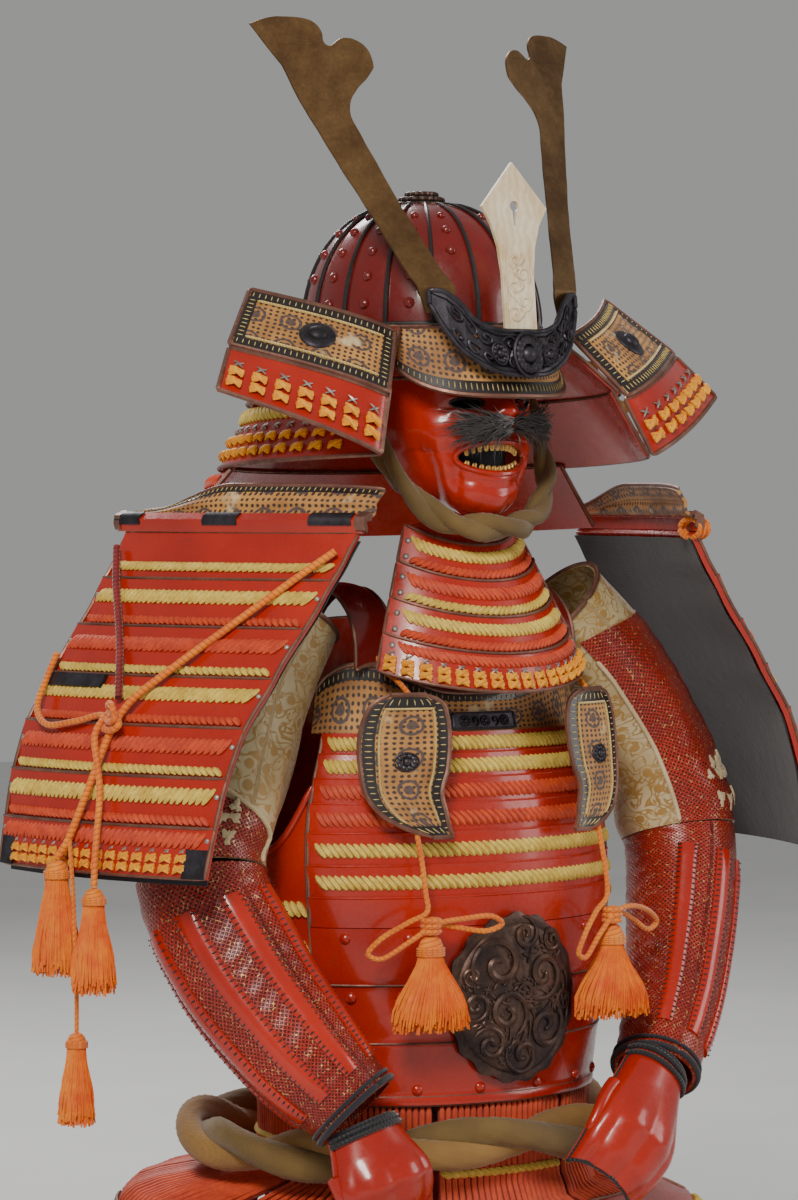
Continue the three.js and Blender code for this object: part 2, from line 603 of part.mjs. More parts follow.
// Riveted plates below the lacing
const plateRivets = (fromAngle, toAngle, heights, angles) => {
  const surface = (u, v) => torsoPoint(mix(fromAngle, toAngle, u), mix(0, -600, v), 2);
  const made = [];
  for (const z of heights) {
    for (const angle of angles) {
      const u = (angle - fromAngle) / (toAngle - fromAngle);
      made.push(rivet(surface, fromAxis, u, z / -600, { radius: 6, height: 7, sunk: 3, tip: 0 }, 4));
    }
  }
  return made;
};
const PLATE_STEPS = [[0, 2], [0.31, 2], [0.33, 0.6], [0.64, 0.6], [0.66, 2], [0.95, 2], [0.96, 3.4],
  [1, 3.4]];
add("cuirass_front_plates", "red", join([
  steppedWall({
    us: steps(10), innerUs: steps(10), innerVs: [0, 0.5, 1],
      surface: torsoPanel(-FRONT_HALF, FRONT_HALF, () => LACED_BOTTOM - SEAM, RIM_Z), thickness: LEATHER,
  }, PLATE_STEPS),
  ...plateRivets(-FRONT_HALF, FRONT_HALF, [-344, -484], [-52, -32, -11, 11, 32, 52]),
  ...plateRivets(-FRONT_HALF, FRONT_HALF, [-398], [-52, -36, 36, 52]),
]));

// Side plates: curved down under the arm
for (const side of [-1, 1]) {
  const middle = (FRONT_HALF + BACK_HALF) / 2;
  const half = (BACK_HALF - FRONT_HALF) / 2 - 0.6;
  const top = (angle) => {
    const across = (Math.abs(angle) - middle) / half;
    return -268 + 62 * Math.abs(across) ** 3;
  };
  add(side < 0 ? "cuirass_side_right" : "cuirass_side_left", "red", steppedWall({
    us: steps(5), innerUs: steps(5), innerVs: [0, 0.3, 0.65, 1],
    surface: torsoPanel(side * (middle - half), side * (middle + half), top, RIM_Z), thickness: LEATHER,
  }, [[0, 2.4], [0.03, 2.4], [0.04, 0], [0.24, 0], [0.26, LACE], [0.36, LACE], [0.38, 0], [0.42, 2],
    [0.44, 2], [0.46, 2 + LACE], [0.53, 2 + LACE], [0.55, 2], [0.94, 2], [0.95, 3.4], [1, 3.4]]));
}

// Back: the same laced lames carried up to the shoulders
const BACK_TOP = [[112, -190], [122, -120], [136, -76], [150, -62], [180, -56]];
add("cuirass_back", "red", steppedWall({
  us: steps(10), innerUs: steps(10), innerVs: [0.01, 0.25, 0.5, 0.75, 1],
  surface: torsoPanel(BACK_HALF, 360 - BACK_HALF, (angle) => lookUp(BACK_TOP,
    angle > 180 ? 360 - angle : angle)[0], RIM_Z),
  thickness: LEATHER,
}, [...lameRows({ count: 5, overlap: 3, bands: [[0.2, 0.7]], from: 0, to: 0.66, margin: false }), [0.95, 1],
  [0.96, 3.4], [1, 3.4]]));

// Shoulder straps: from the back's top edge, over the shoulder, to the chest plate
// columns: y, height
const STRAP_ROUTE = [[70, -82], [61, -56], [44, -36], [10, -21], [-28, -22], [-56, -42], [-66, -64],
  [-68, -93.4]];
for (const side of [-1, 1]) {
  const curve = new THREE.CatmullRomCurve3(STRAP_ROUTE.map(([y, z]) => point(side * 104, y, z)));
  const strap = (u, v) => along(curve, v).add(point(side * mix(-22, 22, u), 0, -6 * (u - 0.5) ** 2 * 4));
  add(side < 0 ? "shoulder_strap_right" : "shoulder_strap_left", "darkRed", wall({
    us: steps(3), vs: steps(8), innerUs: steps(2), innerVs: steps(8), surface: strap,
    away: (p) => point(0, p.y, p.z + 110), thickness: LEATHER,
  }));
}

// Chest wings: leaf-shaped plates that hang in front of the straps' fastenings
// columns: height, inner edge, outer edge, from the wing's middle
const WING_OUTLINE = [[64, -16, 18], [58, -30, 30], [44, -37, 40], [20, -38, 46], [-4, -34, 46],
  [-26, -26, 43], [-46, -30, 30], [-58, -32, 10], [-66, -36, -14]];
const WING = { x: 102, y: -130, z: -184, turn: 20, bulge: 9 };
function wingSurface(side) {
  return (u, v) => {
    const height = mix(64, -66, v);
    const [inner, outer] = lookUp(WING_OUTLINE, height);
    const across = mix(inner, outer, u);
    const away = WING.bulge * (across / 46) ** 2 + 0.1 * height;
    const turn = rad(WING.turn);
    return point(side * (WING.x + across * Math.cos(turn) + 2), WING.y + across * Math.sin(turn) + away,
      WING.z + height);
  };
}
// A short tie of thin cord, fused to the piece that it belongs to
const TIE_RADIUS = 2.5;
function tie(route, count) {
  const curve = new THREE.CatmullRomCurve3(route.map((p) => point(...p)));
  return roll({ curve, count, sides: 5, radius: () => TIE_RADIUS });
}
// Each wing hangs by a tie that runs from the strap's front end under the throat guard's lower edge
const WING_TIE = [[104, -70, -87], [104, -82, -99], [103, -103, -109], [102, -121.5, -122]];
for (const side of [-1, 1]) {
  const plate = wall({
    us: [0, 0.16, 0.18, 0.5, 0.82, 0.84, 1], vs: [0, 0.05, 0.1, 0.25, 0.45, 0.65, 0.82, 0.92, 1],
      innerUs: steps(3), innerVs: [0, 0.05, 0.15, 0.35, 0.6, 0.82, 1],
    surface: wingSurface(side), away: () => point(0, -1, 0), thickness: LEATHER,
    raise: (u, v) => (u < 0.17 || u > 0.83 || v < 0.07 || v > 0.95 ? 1.4 : 0),
  });
  const hanger = tie(WING_TIE.map(([x, y, z]) => [side * x, y, z]), 4);
  add(side < 0 ? "chest_wing_right" : "chest_wing_left", "leather", join([plate, hanger]));
}

// Openwork bar on the chest plate
const barSurface = (u, v) => torsoPoint(mix(-14, 12, u), mix(-140, -155, v), 3);
add("chest_bar", "iron", wall({ us: steps(4), vs: [0, 1], surface: barSurface, thickness: 2 }));

// Medallion: an oval disc with a scalloped rim and a raised field, pegged to the front plates
const MEDALLION = { z: -402, halfWidth: 74, halfHeight: 80, scallops: 17, frontY: -145.1 };
function medallion() {
  const ring = (share, out, wavy) => Array.from({ length: MEDALLION.scallops * 2 }, (_, k) => {
    const around = (k / (MEDALLION.scallops * 2)) * Math.PI * 2;
    const reach = share * (wavy && k % 2 ? 0.955 : 1);
    const x = MEDALLION.halfWidth * reach * Math.sin(around);
    return point(x, MEDALLION.frontY + 0.0022 * x * x - out,
      MEDALLION.z + MEDALLION.halfHeight * reach * Math.cos(around));
  });
  return loft([ring(1, 0, true), ring(1, 2.5, true), ring(0.88, 3, false), ring(0.84, 6, false),
    ring(0.4, 10, false)]);
}
add("medallion", "bronze", medallion());

// Tassels: a bound head with loose strands below it
function tassel(top, { length, headRadius, skirtRadius, strands, squash = 1 }) {
  const headHeight = headRadius * 1.5;
  const head = new THREE.CylinderGeometry(headRadius * 0.7, headRadius, headHeight, 7);
  head.rotateX(Math.PI / 2).translate(top.x, top.y, top.z - headHeight / 2);
  const golden = 2.39996;
  const made = [head];
  for (let i = 0; i < strands; i++) {
    const share = Math.sqrt((i + 0.5) / strands);
    const around = i * golden;
    const away = (radius) => [Math.cos(around) * radius * share, Math.sin(around) * radius * share * squash];
    const [rootX, rootY] = away(headRadius * 0.8);
    const [tipX, tipY] = away(skirtRadius);
    const drop = length * (0.94 + 0.06 * Math.sin(i * 7.1));
    const ring = (x, y, z, radius) => [0, 1, 2].map((k) =>
      point(x + radius * Math.cos(around + k * 2.094), y + radius * Math.sin(around + k * 2.094), z));
    made.push(loft([ring(top.x + rootX, top.y + rootY, top.z - headHeight + 1.5, 1.7),
      ring(top.x + tipX, top.y + tipY, top.z - drop, 2.3)]));
  }
  return join(made);
}

// Cords: a round section along a smooth route. Routes are lists of points chosen by hand.
function cord(route, diameter, count, sides = 8) {
  const section = new THREE.Shape();
  section.absarc(0, 0, diameter / 2, 0, Math.PI * 2, false);
  const curve = new THREE.CatmullRomCurve3(route.map((p) => point(...p)));
  const flat = new THREE.ExtrudeGeometry(new THREE.Shape(section.getPoints(sides / 2).slice(0, sides)),
    { steps: count, extrudePath: curve, bevelEnabled: false });
  return flat;
}

const CHEST_TASSEL = { length: 88, headRadius: 13, skirtRadius: 42, strands: 16, squash: 0.45 };
// Bow cord on each side: from the ring under the wing down to the knot, round the low loop on the wearer's
// right and the high loop on the left, and back to the knot
const BOW_ROUTES = {
  right: [[0, 2, 7.4], [1, -5, -20], [0, -12, -46], [-2, -17, -62], [-22, -15, -71], [-46, -5, -86],
    [-55, 1, -99], [-44, -2, -104], [-20, -16, -88], [2, -25, -73], [30, -30, -69], [58, -36, -68],
    [68, -37, -75], [54, -34, -81], [30, -27, -78], [12, -20, -74]],
  left: [[0, 2, 7.4], [1, -5, -20], [0, -12, -44], [-4, -17, -60], [-20, -22, -72], [-40, -28, -96],
    [-46, -29, -110], [-38, -28, -114], [-18, -26, -92], [2, -25, -73], [26, -18, -70], [56, -5, -78],
    [74, 6, -90], [62, 3, -96], [36, -6, -84], [12, -16, -74]],
};
const TASSEL_DROP = { right: 83.4, left: 85.2 };
const BOW_RING = { x: 104, y: -136, z: -254 };
for (const [suffix, bow] of Object.entries(BOW_ROUTES)) {
  const x = suffix === "right" ? -BOW_RING.x : BOW_RING.x;
  add("bow_cord_" + suffix, "orange", cord(bow.map(([dx, dy, dz]) => [x + dx, BOW_RING.y + dy,
    BOW_RING.z + dz]), 5, 18));
  add("chest_tassel_" + suffix, "orange", tassel(point(x, BOW_RING.y - 20,
    BOW_RING.z - TASSEL_DROP[suffix]), CHEST_TASSEL));
}

// Shoulder guards: cap, laced lames and cloth lining. The right one hangs turned a little more to the front.
// columns: height, distance out from the torso's axis, at the middle of the right guard
const GUARD_PROFILE = [[36, 229], [4, 248], [-31, 271], [-101, 320], [-156, 355], [-211, 373], [-275, 386]];
const GUARD = { halfWidth: 131, centreY: -20, topZ: 25, bottomZ: -275, curl: 18, lames: 7 };
// shift outwards, turn in degrees at the top and at the bottom
const GUARD_HANG = { "-1": [0, 22.5, 12.7], "1": [16, 12, 12] };
function guardPoint(side, across, z, out = 0) {
  const [shift, topTurn, bottomTurn] = GUARD_HANG[side];
  const turn = rad(mix(topTurn, bottomTurn, clamp01((30 - z) / 305)));
  const [x] = lookUp(GUARD_PROFILE, z);
  const reach = x + shift + out - GUARD.curl * (across / GUARD.halfWidth) ** 2;
  return point(side * (reach - across * Math.sin(turn)), GUARD.centreY - across * Math.cos(turn), z);
}
// The cap's leather stands up behind its board, high in front and low towards the back
// columns: share up, height above the board's foot, out from the profile
const GUARD_CAP = [[0, 0, 8], [0.3, 15, 6], [0.34, 16, 1], [0.7, 30, -6], [1, 43, -16]];
const CAP_FOOT_Z = 28.1;
function guardCap(side, u, v) {
  const [rise, out] = lookUp(GUARD_CAP, v);
  const across = mix(-1, 1, u) * (GUARD.halfWidth + 4);
  const lower = 1 - 0.8 * smooth(clamp01((-across - 10) / 100)) - 0.12 * (across / GUARD.halfWidth) ** 4;
  const leather = Math.max(0, rise - 16);
  return guardPoint(side, across, CAP_FOOT_Z, out).setZ(CAP_FOOT_Z + rise - leather * (1 - lower));
}
const fromTorso = (side) => () => point(side, 0, 0.2);
for (const side of [-1, 1]) {
  const suffix = side < 0 ? "_right" : "_left";
  const levels = [0.01, 0.17, 0.36, 0.52, 0.8, 1];
  const lames = (u, v) => guardPoint(side, mix(-1, 1, u) * GUARD.halfWidth * mix(0.97, 1, v),
    mix(GUARD.topZ, GUARD.bottomZ, v));
  add("shoulder_lames" + suffix, "red", steppedWall({
    us: steps(5), innerUs: steps(5), innerVs: levels, surface: lames, away: fromTorso(side), thickness: 2,
  }, lameRows({ count: GUARD.lames, overlap: 6, bands: [[0.2, 0.48], [0.64, 0.9]] })));
  const lining = (u, v) => guardPoint(side, mix(-1, 1, u) * (GUARD.halfWidth - 4),
    mix(GUARD.topZ - 4, GUARD.bottomZ - 6, v), -4);
  add("shoulder_lining" + suffix, "black", wall({
    us: steps(5), vs: levels, surface: lining, away: fromTorso(side), thickness: 1.6,
  }));
  add("shoulder_cap" + suffix, "leather", wall({
    us: steps(9), vs: [0, 0.3, 0.34, 0.6, 1], innerVs: [0, 0.34, 1],
      surface: (u, v) => guardCap(side, u, v), away: fromTorso(side),
    raise: (u, v) => (v < 0.31 ? 2.5 : 0), thickness: LEATHER,
  }));
}

// Cords and tassels on the right shoulder guard. Stations are [across, height, out from the guard's face].
const GUARD_FACE = 9; // how far the lames' rows stand above the guard's surface
const GUARD_CORDS = [
  { name: "shoulder_cord_front", finish: "orange", diameter: 7, count: 12,
    route: [[126, 12, 7], [108, -8, 7], [72, -52, 7], [40, -92, 8], [14, -124, 9], [8, -150, 6],
      [2, -200, 6], [-12, -250, 7], [-20, -262, 8]] },
  { name: "shoulder_cord_back", finish: "darkRed", diameter: 7, count: 6,
    route: [[-120, 14, 5.2], [-92, -20, 5.2], [-52, -62, 5.2], [-20, -98, 6.2], [-4, -120, 7.2]] },
  { name: "shoulder_cord_side", finish: "orange", diameter: 6, count: 14,
    route: [[-124, -84, 5], [-118, -104, 7], [-104, -132, 9], [-78, -146, 8], [-40, -142, 7], [-8, -136, 8],
      [2, -152, 16], [18, -200, 8], [28, -260, 8], [30, -286, 8]] },
];
const guardFace = ([across, z, out]) => guardPoint(-1, across, z, GUARD_FACE + out).toArray();
for (const { name, finish, diameter, count, route } of GUARD_CORDS) {
  add(name, finish, cord(route.map(guardFace), diameter, count));
}
const hangFrom = (station, drop) => point(...guardFace(station)).add(point(0, 0, -drop));
add("shoulder_tassel_back", "orange", tassel(hangFrom([-20, -262, 8], 3),
  { length: 104, headRadius: 11, skirtRadius: 22, strands: 14 }));
add("shoulder_tassel_front", "orange", tassel(hangFrom([30, -286, 8], 0.8),
  { length: 95, headRadius: 10, skirtRadius: 20, strands: 14 }));
// The low tassel hangs on a cord of its own
function lowTassel() {
  const station = point(...guardFace([4, -272, 8]));
  const top = point(station.x + 3, station.y, -418);
  const line = cord([guardFace([-5.6, -246, 9]), [station.x, station.y, -300], [top.x, top.y, -380],
    [top.x, top.y, -425]], 4, 6);
  return join([line, tassel(top, { length: 86, headRadius: 9, skirtRadius: 16, strands: 14 })]);
}
add("shoulder_tassel_low", "orange", lowTassel());

// Sleeves: rings along each arm, the upper and lower sleeve meeting at the elbow
// route: x, y, z, half width across the arm
const ARMS = {
  right: {
    side: -1,
    seam: 0.004,
    route: [[-160, 5, -46, 57], [-199, 3, -108, 56], [-231, -8, -194, 55], [-268, -26, -284, 60],
      [-250, -66, -368, 60], [-219, -114, -438, 53], [-184, -155, -492, 42]],
    hand: { wrist: [-184.3, -160, -504.2], knuckles: [-168, -192, -572] },
  },
  left: {
    side: 1,
    seam: 0.0015,
    route: [[153, 3, -46, 56], [212, -5, -104, 55], [260, -14, -178, 54], [283, -32, -270, 55],
      [260, -62, -346, 52], [218, -102, -422, 46], [168, -140, -486, 39]],
    hand: { wrist: [158.4, -153.6, -476.3], knuckles: [82, -206, -556] },
  },
};
const ELBOW = 0.5; // share of the route where the sleeves meet
// Surface of a sleeve between two shares of the route: u round the arm from its front, v along it
function sleeveSurface(arm, from, to) {
  const curve = new THREE.CatmullRomCurve3(arm.route.map(([x, y, z]) => point(x, y, z)));
  const radii = arm.route.map(([, , , radius], k) => [k / (arm.route.length - 1), radius]);
  return (u, v) => {
    const share = mix(from, to, v);
    const tangent = curve.getTangent(clamp01(share));
    const centre = along(curve, share);
    const [radius] = lookUp(radii, share);
    const outwards = point(arm.side, 0, 0);
    outwards.addScaledVector(tangent, -outwards.dot(tangent)).normalize();
    const forwards = tangent.clone().cross(outwards).normalize();
    if (forwards.y > 0) forwards.negate();
    const around = rad(360 * u);
    return centre.addScaledVector(forwards, radius * Math.cos(around)).addScaledVector(outwards,
      radius * Math.sin(around));
  };
}
function awayFromArm(arm) {
  const samples = new THREE.CatmullRomCurve3(arm.route.map(([x, y, z]) => point(x, y, z))).getPoints(60);
  return (p) => p.clone().sub(samples.reduce((near, q) => (q.distanceTo(p) < near.distanceTo(p) ? q : near)));
}
// Splints: raised strips on the outer side, [centre, half width] in shares of the way round
const SPLINTS = [-0.08, 0.04, 0.16, 0.28, 0.4];
const SPLINT_HALF = 0.036;
function splintColumns() {
  const us = SPLINTS.flatMap((at) => [at - SPLINT_HALF, at - SPLINT_HALF * 0.6, at + SPLINT_HALF * 0.6,
    at + SPLINT_HALF]);
  return [...us, 0.5, 0.6, 0.69, 0.78, 0.85];
}
const splintRaise = (u) => (SPLINTS.some((at) => Math.abs(u - at) < SPLINT_HALF * 0.7) ? 4 : 0);
// Folds in the upper sleeve: [place round, place along, half width round, half length, depth]
const SLEEVE_FOLDS = [
  [0.88, 0.3, 0.09, 0.3, 6], [0.78, 0.62, 0.1, 0.16, 7], [0.95, 0.8, 0.12, 0.12, 6],
    [0.7, 0.92, 0.12, 0.1, 6], [0.62, 0.45, 0.08, 0.3, 4], [0.1, 0.9, 0.16, 0.08, 4],
];
const wrapAway = (u, at) => Math.min(Math.abs(u - at), Math.abs(u - at - 1), Math.abs(u - at + 1));
const foldRaise = (u, v) => SLEEVE_FOLDS.reduce((sum, [at, along, halfRound, halfLong, depth]) =>
  sum + depth * bump(wrapAway(u, at), 0, halfRound) * bump(v, along, halfLong), 0);

// Hand guards: a domed plate over the back of the hand, with knuckle ridges
function handSurface(arm) {
  const wrist = point(...arm.hand.wrist);
  const knuckles = point(...arm.hand.knuckles);
  const along = knuckles.clone().sub(wrist).normalize();
  const sideways = point(arm.side, 0.25, 0).addScaledVector(along,
    -point(arm.side, 0.25, 0).dot(along)).normalize();
  const outwards = along.clone().cross(sideways);
  if (outwards.y > 0) outwards.negate();
  return (u, v) => {
    const angle = rad(mix(-96, 96, u));
    const width = mix(33, 46, smooth(clamp01(v * 1.6))) * (v > 0.8 ? mix(1, 0.86, (v - 0.8) / 0.2) : 1);
    const curlIn = 34 * clamp01((v - 0.55) / 0.45) ** 2;
    return wrist.clone().lerp(knuckles, v * 1.12)
      .addScaledVector(sideways, width * Math.sin(angle))
      .addScaledVector(outwards, 22 * Math.cos(angle) - curlIn);
  };
}
for (const [suffix, arm] of Object.entries(ARMS)) {
  const away = awayFromArm(arm);
  add("sleeve_upper_" + suffix, "brocade", wall({
    us: steps(15).slice(0, -1), vs: steps(7), innerUs: steps(10).slice(0, -1), innerVs: steps(4),
    surface: sleeveSurface(arm, 0, ELBOW - arm.seam), away, raise: foldRaise, thickness: CLOTH, closed: true,
  }));
  add("sleeve_lower_" + suffix, "red", wall({
    us: splintColumns(), vs: [0, 0.14, 0.17, 0.5, 0.87, 0.9, 1], innerUs: steps(10).slice(0, -1),
      innerVs: steps(4),
    surface: sleeveSurface(arm, ELBOW + arm.seam, 1), away, thickness: CLOTH, closed: true,
    raise: (u, v) => (v > 0.15 && v < 0.88 ? splintRaise(u) : 0),
  }));
  const hand = handSurface(arm);
  const ridge = (u, v) => {
    const knuckles = Math.abs(Math.sin(rad(720 * (u - 0.5)))) * bump(u, 0.5, 0.5);
    return v > 0.3 ? 3.5 * knuckles * smooth(clamp01((v - 0.3) * 3)) : 0;
  };
  add("hand_guard_" + suffix, "red", wall({
    us: steps(10), vs: steps(6), innerUs: steps(6), innerVs: steps(4), surface: hand,
      away: () => point(0, -1, 0.35),
    raise: ridge, thickness: 2.5,
  }));
}

// Sash: two strands of wound cloth round the waist, over the foot of the cuirass
const SASH = { rightHalf: 232, leftHalf: 205, b: 160, centreY: 6.8, z: -535, radius: 25 };
const sashCurve = new THREE.CatmullRomCurve3(Array.from({ length: 16 }, (_, k) => {
  const around = (k / 16) * Math.PI * 2;
  const half = around > Math.PI ? SASH.rightHalf : SASH.leftHalf;
  return point(half * Math.sin(around), SASH.centreY - SASH.b * Math.cos(around),
    SASH.z + 4 * Math.cos(around * 3));
}), true);
add("sash", "olive", roll({ curve: sashCurve, closed: true, count: 30, sides: 7, radius: () => SASH.radius,
  lobes: 2, depth: 0.09, turns: 3, squash: 0.8 }));

// Skirt: seven panels, each a curtain of laces above three flared lames
// columns: height, distance out from the cuirass rim
const SKIRT_PROFILE = [[-505, 0], [-542, 0], [-566, 10], [-586, 60], [-608, 112], [-646, 142], [-704, 168],
  [-768, 186], [-832, 196]];
const SKIRT_FRONT_DROP = 34; // the front panels flare lower, under the hands
const SKIRT_RIGHT_LIFT = 32; // and those on the wearer's right flare higher
const PANELS = [-154.3, -102.9, -51.4, 0, 51.4, 102.9, 154.3];
const PANEL = { half: 24.6, topZ: -498.6, curtainZ: -604, bottomZ: -832, inset: -4.4 };
function skirtPoint(angle, z) {
  const drop = SKIRT_FRONT_DROP * bump(angle, 0, 95);
  const lift = SKIRT_RIGHT_LIFT * bump(angle, -115, 70) * smooth(clamp01((-562 - z) / 34));
  const [out] = lookUp(SKIRT_PROFILE, z + drop - lift);
  return torsoPoint(angle, RIM_Z, PANEL.inset + out).setZ(z);
}
PANELS.forEach((middle, index) => {
  const curtainShare = (PANEL.topZ - PANEL.curtainZ) / (PANEL.topZ - PANEL.bottomZ);
  const rows = [[0, 0], [0.16, 0], [0.22, 0], ...lameRows({ count: 3, overlap: 4, bands: [[0.2, 0.6]],
    from: curtainShare, to: 1, margin: false })];
  const raised = new Map(rows);
  const surface = (u, v) => skirtPoint(middle + mix(-PANEL.half, PANEL.half, u),
    mix(PANEL.topZ, PANEL.bottomZ, v));
  add("skirt_panel_" + (index + 1), "red", wall({
    us: steps(4), vs: rows.map(([v]) => v), innerUs: steps(4), innerVs: [0, 0.16, 0.22, 0.3, 0.42, 0.7, 1],
      surface, thickness: 2.4,
    away: (p) => point(p.x, p.y, 60),
    raise: (u, v) => raised.get(v) + (v < curtainShare ? 2.5 * (Math.round(u * 4) % 2) : 0),
  }));
});

export default armour;
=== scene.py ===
"""Looks of a suit of samurai armour in worn form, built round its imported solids.

Sizes in tables are millimetres, in the solids' own frame: +Z up, the front faces -Y and the wearer's left
is +X. Meshes are scaled to metres when they are made. Angles round the body are in degrees from the front.
"""

import math

import bmesh
import bpy
import numpy as np
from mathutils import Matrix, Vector


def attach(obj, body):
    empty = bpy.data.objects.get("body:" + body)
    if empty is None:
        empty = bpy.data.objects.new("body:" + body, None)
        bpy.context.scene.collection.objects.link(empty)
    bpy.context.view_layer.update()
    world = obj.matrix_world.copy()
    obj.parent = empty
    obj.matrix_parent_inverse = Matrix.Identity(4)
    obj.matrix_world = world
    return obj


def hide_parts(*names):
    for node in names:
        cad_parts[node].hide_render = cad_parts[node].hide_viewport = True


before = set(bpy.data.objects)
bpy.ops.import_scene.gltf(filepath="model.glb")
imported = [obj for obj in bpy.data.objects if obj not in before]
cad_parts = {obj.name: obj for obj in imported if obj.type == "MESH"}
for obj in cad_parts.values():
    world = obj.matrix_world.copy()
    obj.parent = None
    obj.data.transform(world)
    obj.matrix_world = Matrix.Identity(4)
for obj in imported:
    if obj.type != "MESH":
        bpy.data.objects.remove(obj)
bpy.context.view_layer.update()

MM = 0.001
SIDES = ((-1, "_right"), (1, "_left"))
BODY = "root"
rng = np.random.default_rng(7)

# thickness of most walls
LEATHER = 3.0
# the turn from one strand of a tassel to the next
GOLDEN_ANGLE = 2.39996


# Numbers, tables and curves
def mix(a, b, t):
    return a + (b - a) * t


def clamp01(t):
    return np.clip(t, 0.0, 1.0)


def span(count):
    """Evenly spaced shares from 0 to 1."""
    return np.linspace(0, 1, count)


def round_shares(count):
    """Shares of a full turn, without the last, which is the first again."""
    return np.linspace(0, 1, count, endpoint=False)


def circle(count):
    """Angles of a full turn, without the last, which is the first again."""
    return np.linspace(0, 2 * math.pi, count, endpoint=False)


def full_circle(count):
    """Angles of a full turn, with the first again at the end."""
    return np.linspace(0, 2 * math.pi, count)


def smooth(t):
    return t * t * (3 - 2 * t)


def bump(x, centre, half):
    """A soft hill of height 1 round centre, nothing past half."""
    return np.cos(np.minimum(1.0, np.abs(x - centre) / half) * math.pi / 2)


def points(x, y, z):
    return np.stack(np.broadcast_arrays(np.asarray(x, float), y, z), -1)


def pairs(u, v):
    return np.stack(np.broadcast_arrays(np.asarray(u, float), v), -1)


def unit(vectors):
    return vectors / np.maximum(np.linalg.norm(vectors, axis=-1, keepdims=True), 1e-9)


def table(rows, key):
    """Columns of a table at the key in its first column, by a cubic through the rows."""
    rows = np.array(sorted(rows), float)
    xs = rows[:, 0]
    key = np.clip(key, xs[0], xs[-1])
    i = np.clip(np.searchsorted(xs, key, side="right") - 1, 0, len(xs) - 2)
    width = xs[i + 1] - xs[i]
    t = (key - xs[i]) / width
    found = []
    for ys in rows[:, 1:].T:
        slopes = np.gradient(ys, xs) * 0.8
        a, b, m, n = ys[i], ys[i + 1], slopes[i] * width, slopes[i + 1] * width
        found.append(a + t * (m + t * (3 * (b - a) - 2 * m - n + t * (2 * (a - b) + m + n))))
    return found


class Route:
    """A smooth curve through given points."""

    def __init__(self, stations, closed=False):
        self.stations = np.array(stations, float)
        self.closed = closed

    def at(self, t):
        t = np.atleast_1d(np.asarray(t, float))
        s = self.stations
        count = len(s)
        place = t * (count if self.closed else count - 1)
        i = np.floor(place).astype(int)
        if not self.closed:
            i = np.clip(i, 0, count - 2)
        w = (place - i)[:, None]
        if self.closed:
            p0, p1, p2, p3 = (s[(i + k) % count] for k in (-1, 0, 1, 2))
        else:
            padded = np.vstack([2 * s[0] - s[1], s, 2 * s[-1] - s[-2]])
            p0, p1, p2, p3 = (padded[i + k] for k in (0, 1, 2, 3))
        d0, d1, d2 = (np.maximum(np.linalg.norm(b - a, axis=1), 1e-6)[:, None] ** 0.5
                      for a, b in ((p0, p1), (p1, p2), (p2, p3)))
        m = ((p1 - p0) / d0 - (p2 - p0) / (d0 + d1) + (p2 - p1) / d1) * d1
        n = ((p2 - p1) / d1 - (p3 - p1) / (d1 + d2) + (p3 - p2) / d2) * d1
        return p1 + w * (m + w * (3 * (p2 - p1) - 2 * m - n + w * (2 * (p1 - p2) + m + n)))

    def tangent(self, t):
        h = 1e-4
        t = np.atleast_1d(np.asarray(t, float))
        low = t - h if self.closed else np.maximum(t - h, 0)
        high = t + h if self.closed else np.minimum(t + h, 1)
        return unit(self.at(high) - self.at(low))

    def evenly(self, count):
        """That many points, spaced evenly along the curve."""
        fine = self.at(span(count * 12))
        reach = np.concatenate([[0], np.cumsum(np.linalg.norm(np.diff(fine, axis=0), axis=1))])
        want = np.linspace(0, reach[-1], count)
        return np.stack([np.interp(want, reach, fine[:, k]) for k in range(3)], -1)


# Surfaces: a function of u and v with the side that faces outwards
class Surface:
    def __init__(self, at, away=None):
        self.at = at
        self.away = away or (lambda p: p * np.array([1.0, 1.0, 0.0]))

    def normal(self, u, v):
        h = 1e-3
        du = self.at(u + h, v) - self.at(u - h, v)
        dv = self.at(u, v + h) - self.at(u, v - h)
        n = unit(np.cross(du, dv))
        flip = np.sum(n * self.away(self.at(u, v)), axis=-1, keepdims=True) < 0
        return np.where(flip, -n, n)

    def out(self, u, v, height):
        u, v = np.broadcast_arrays(np.asarray(u, float), np.asarray(v, float))
        return self.at(u, v) + self.normal(u, v) * np.asarray(height, float)[..., None]

    def size(self):
        """Mean width and height in millimetres."""
        t = span(33)
        u, v = np.meshgrid(t, t)
        grid = self.at(u, v)
        wide = np.linalg.norm(np.diff(grid, axis=1), axis=-1).sum(1).mean()
        high = np.linalg.norm(np.diff(grid, axis=0), axis=-1).sum(0).mean()
        return wide, high


def facing(at, x, y, z):
    """A surface whose outer side looks one way."""
    return Surface(at, lambda p: np.broadcast_to(np.array([x, y, z], float), p.shape))


# Parts of a mesh: vertices in millimetres, quads and triangles, texture coordinates in metres
def part(verts, faces, uv, material=0):
    return {"verts": verts.reshape(-1, 3), "faces": faces, "uv": uv.reshape(-1, 2), "material": material}


def grid_faces(rows, columns, wrap=False, start=0):
    r, c = np.meshgrid(np.arange(rows - 1), np.arange(columns if wrap else columns - 1), indexing="ij")
    d = (c + 1) % columns
    corners = [r * columns + c, r * columns + d, (r + 1) * columns + d, (r + 1) * columns + c]
    return start + np.stack(corners, -1).reshape(-1, 4)


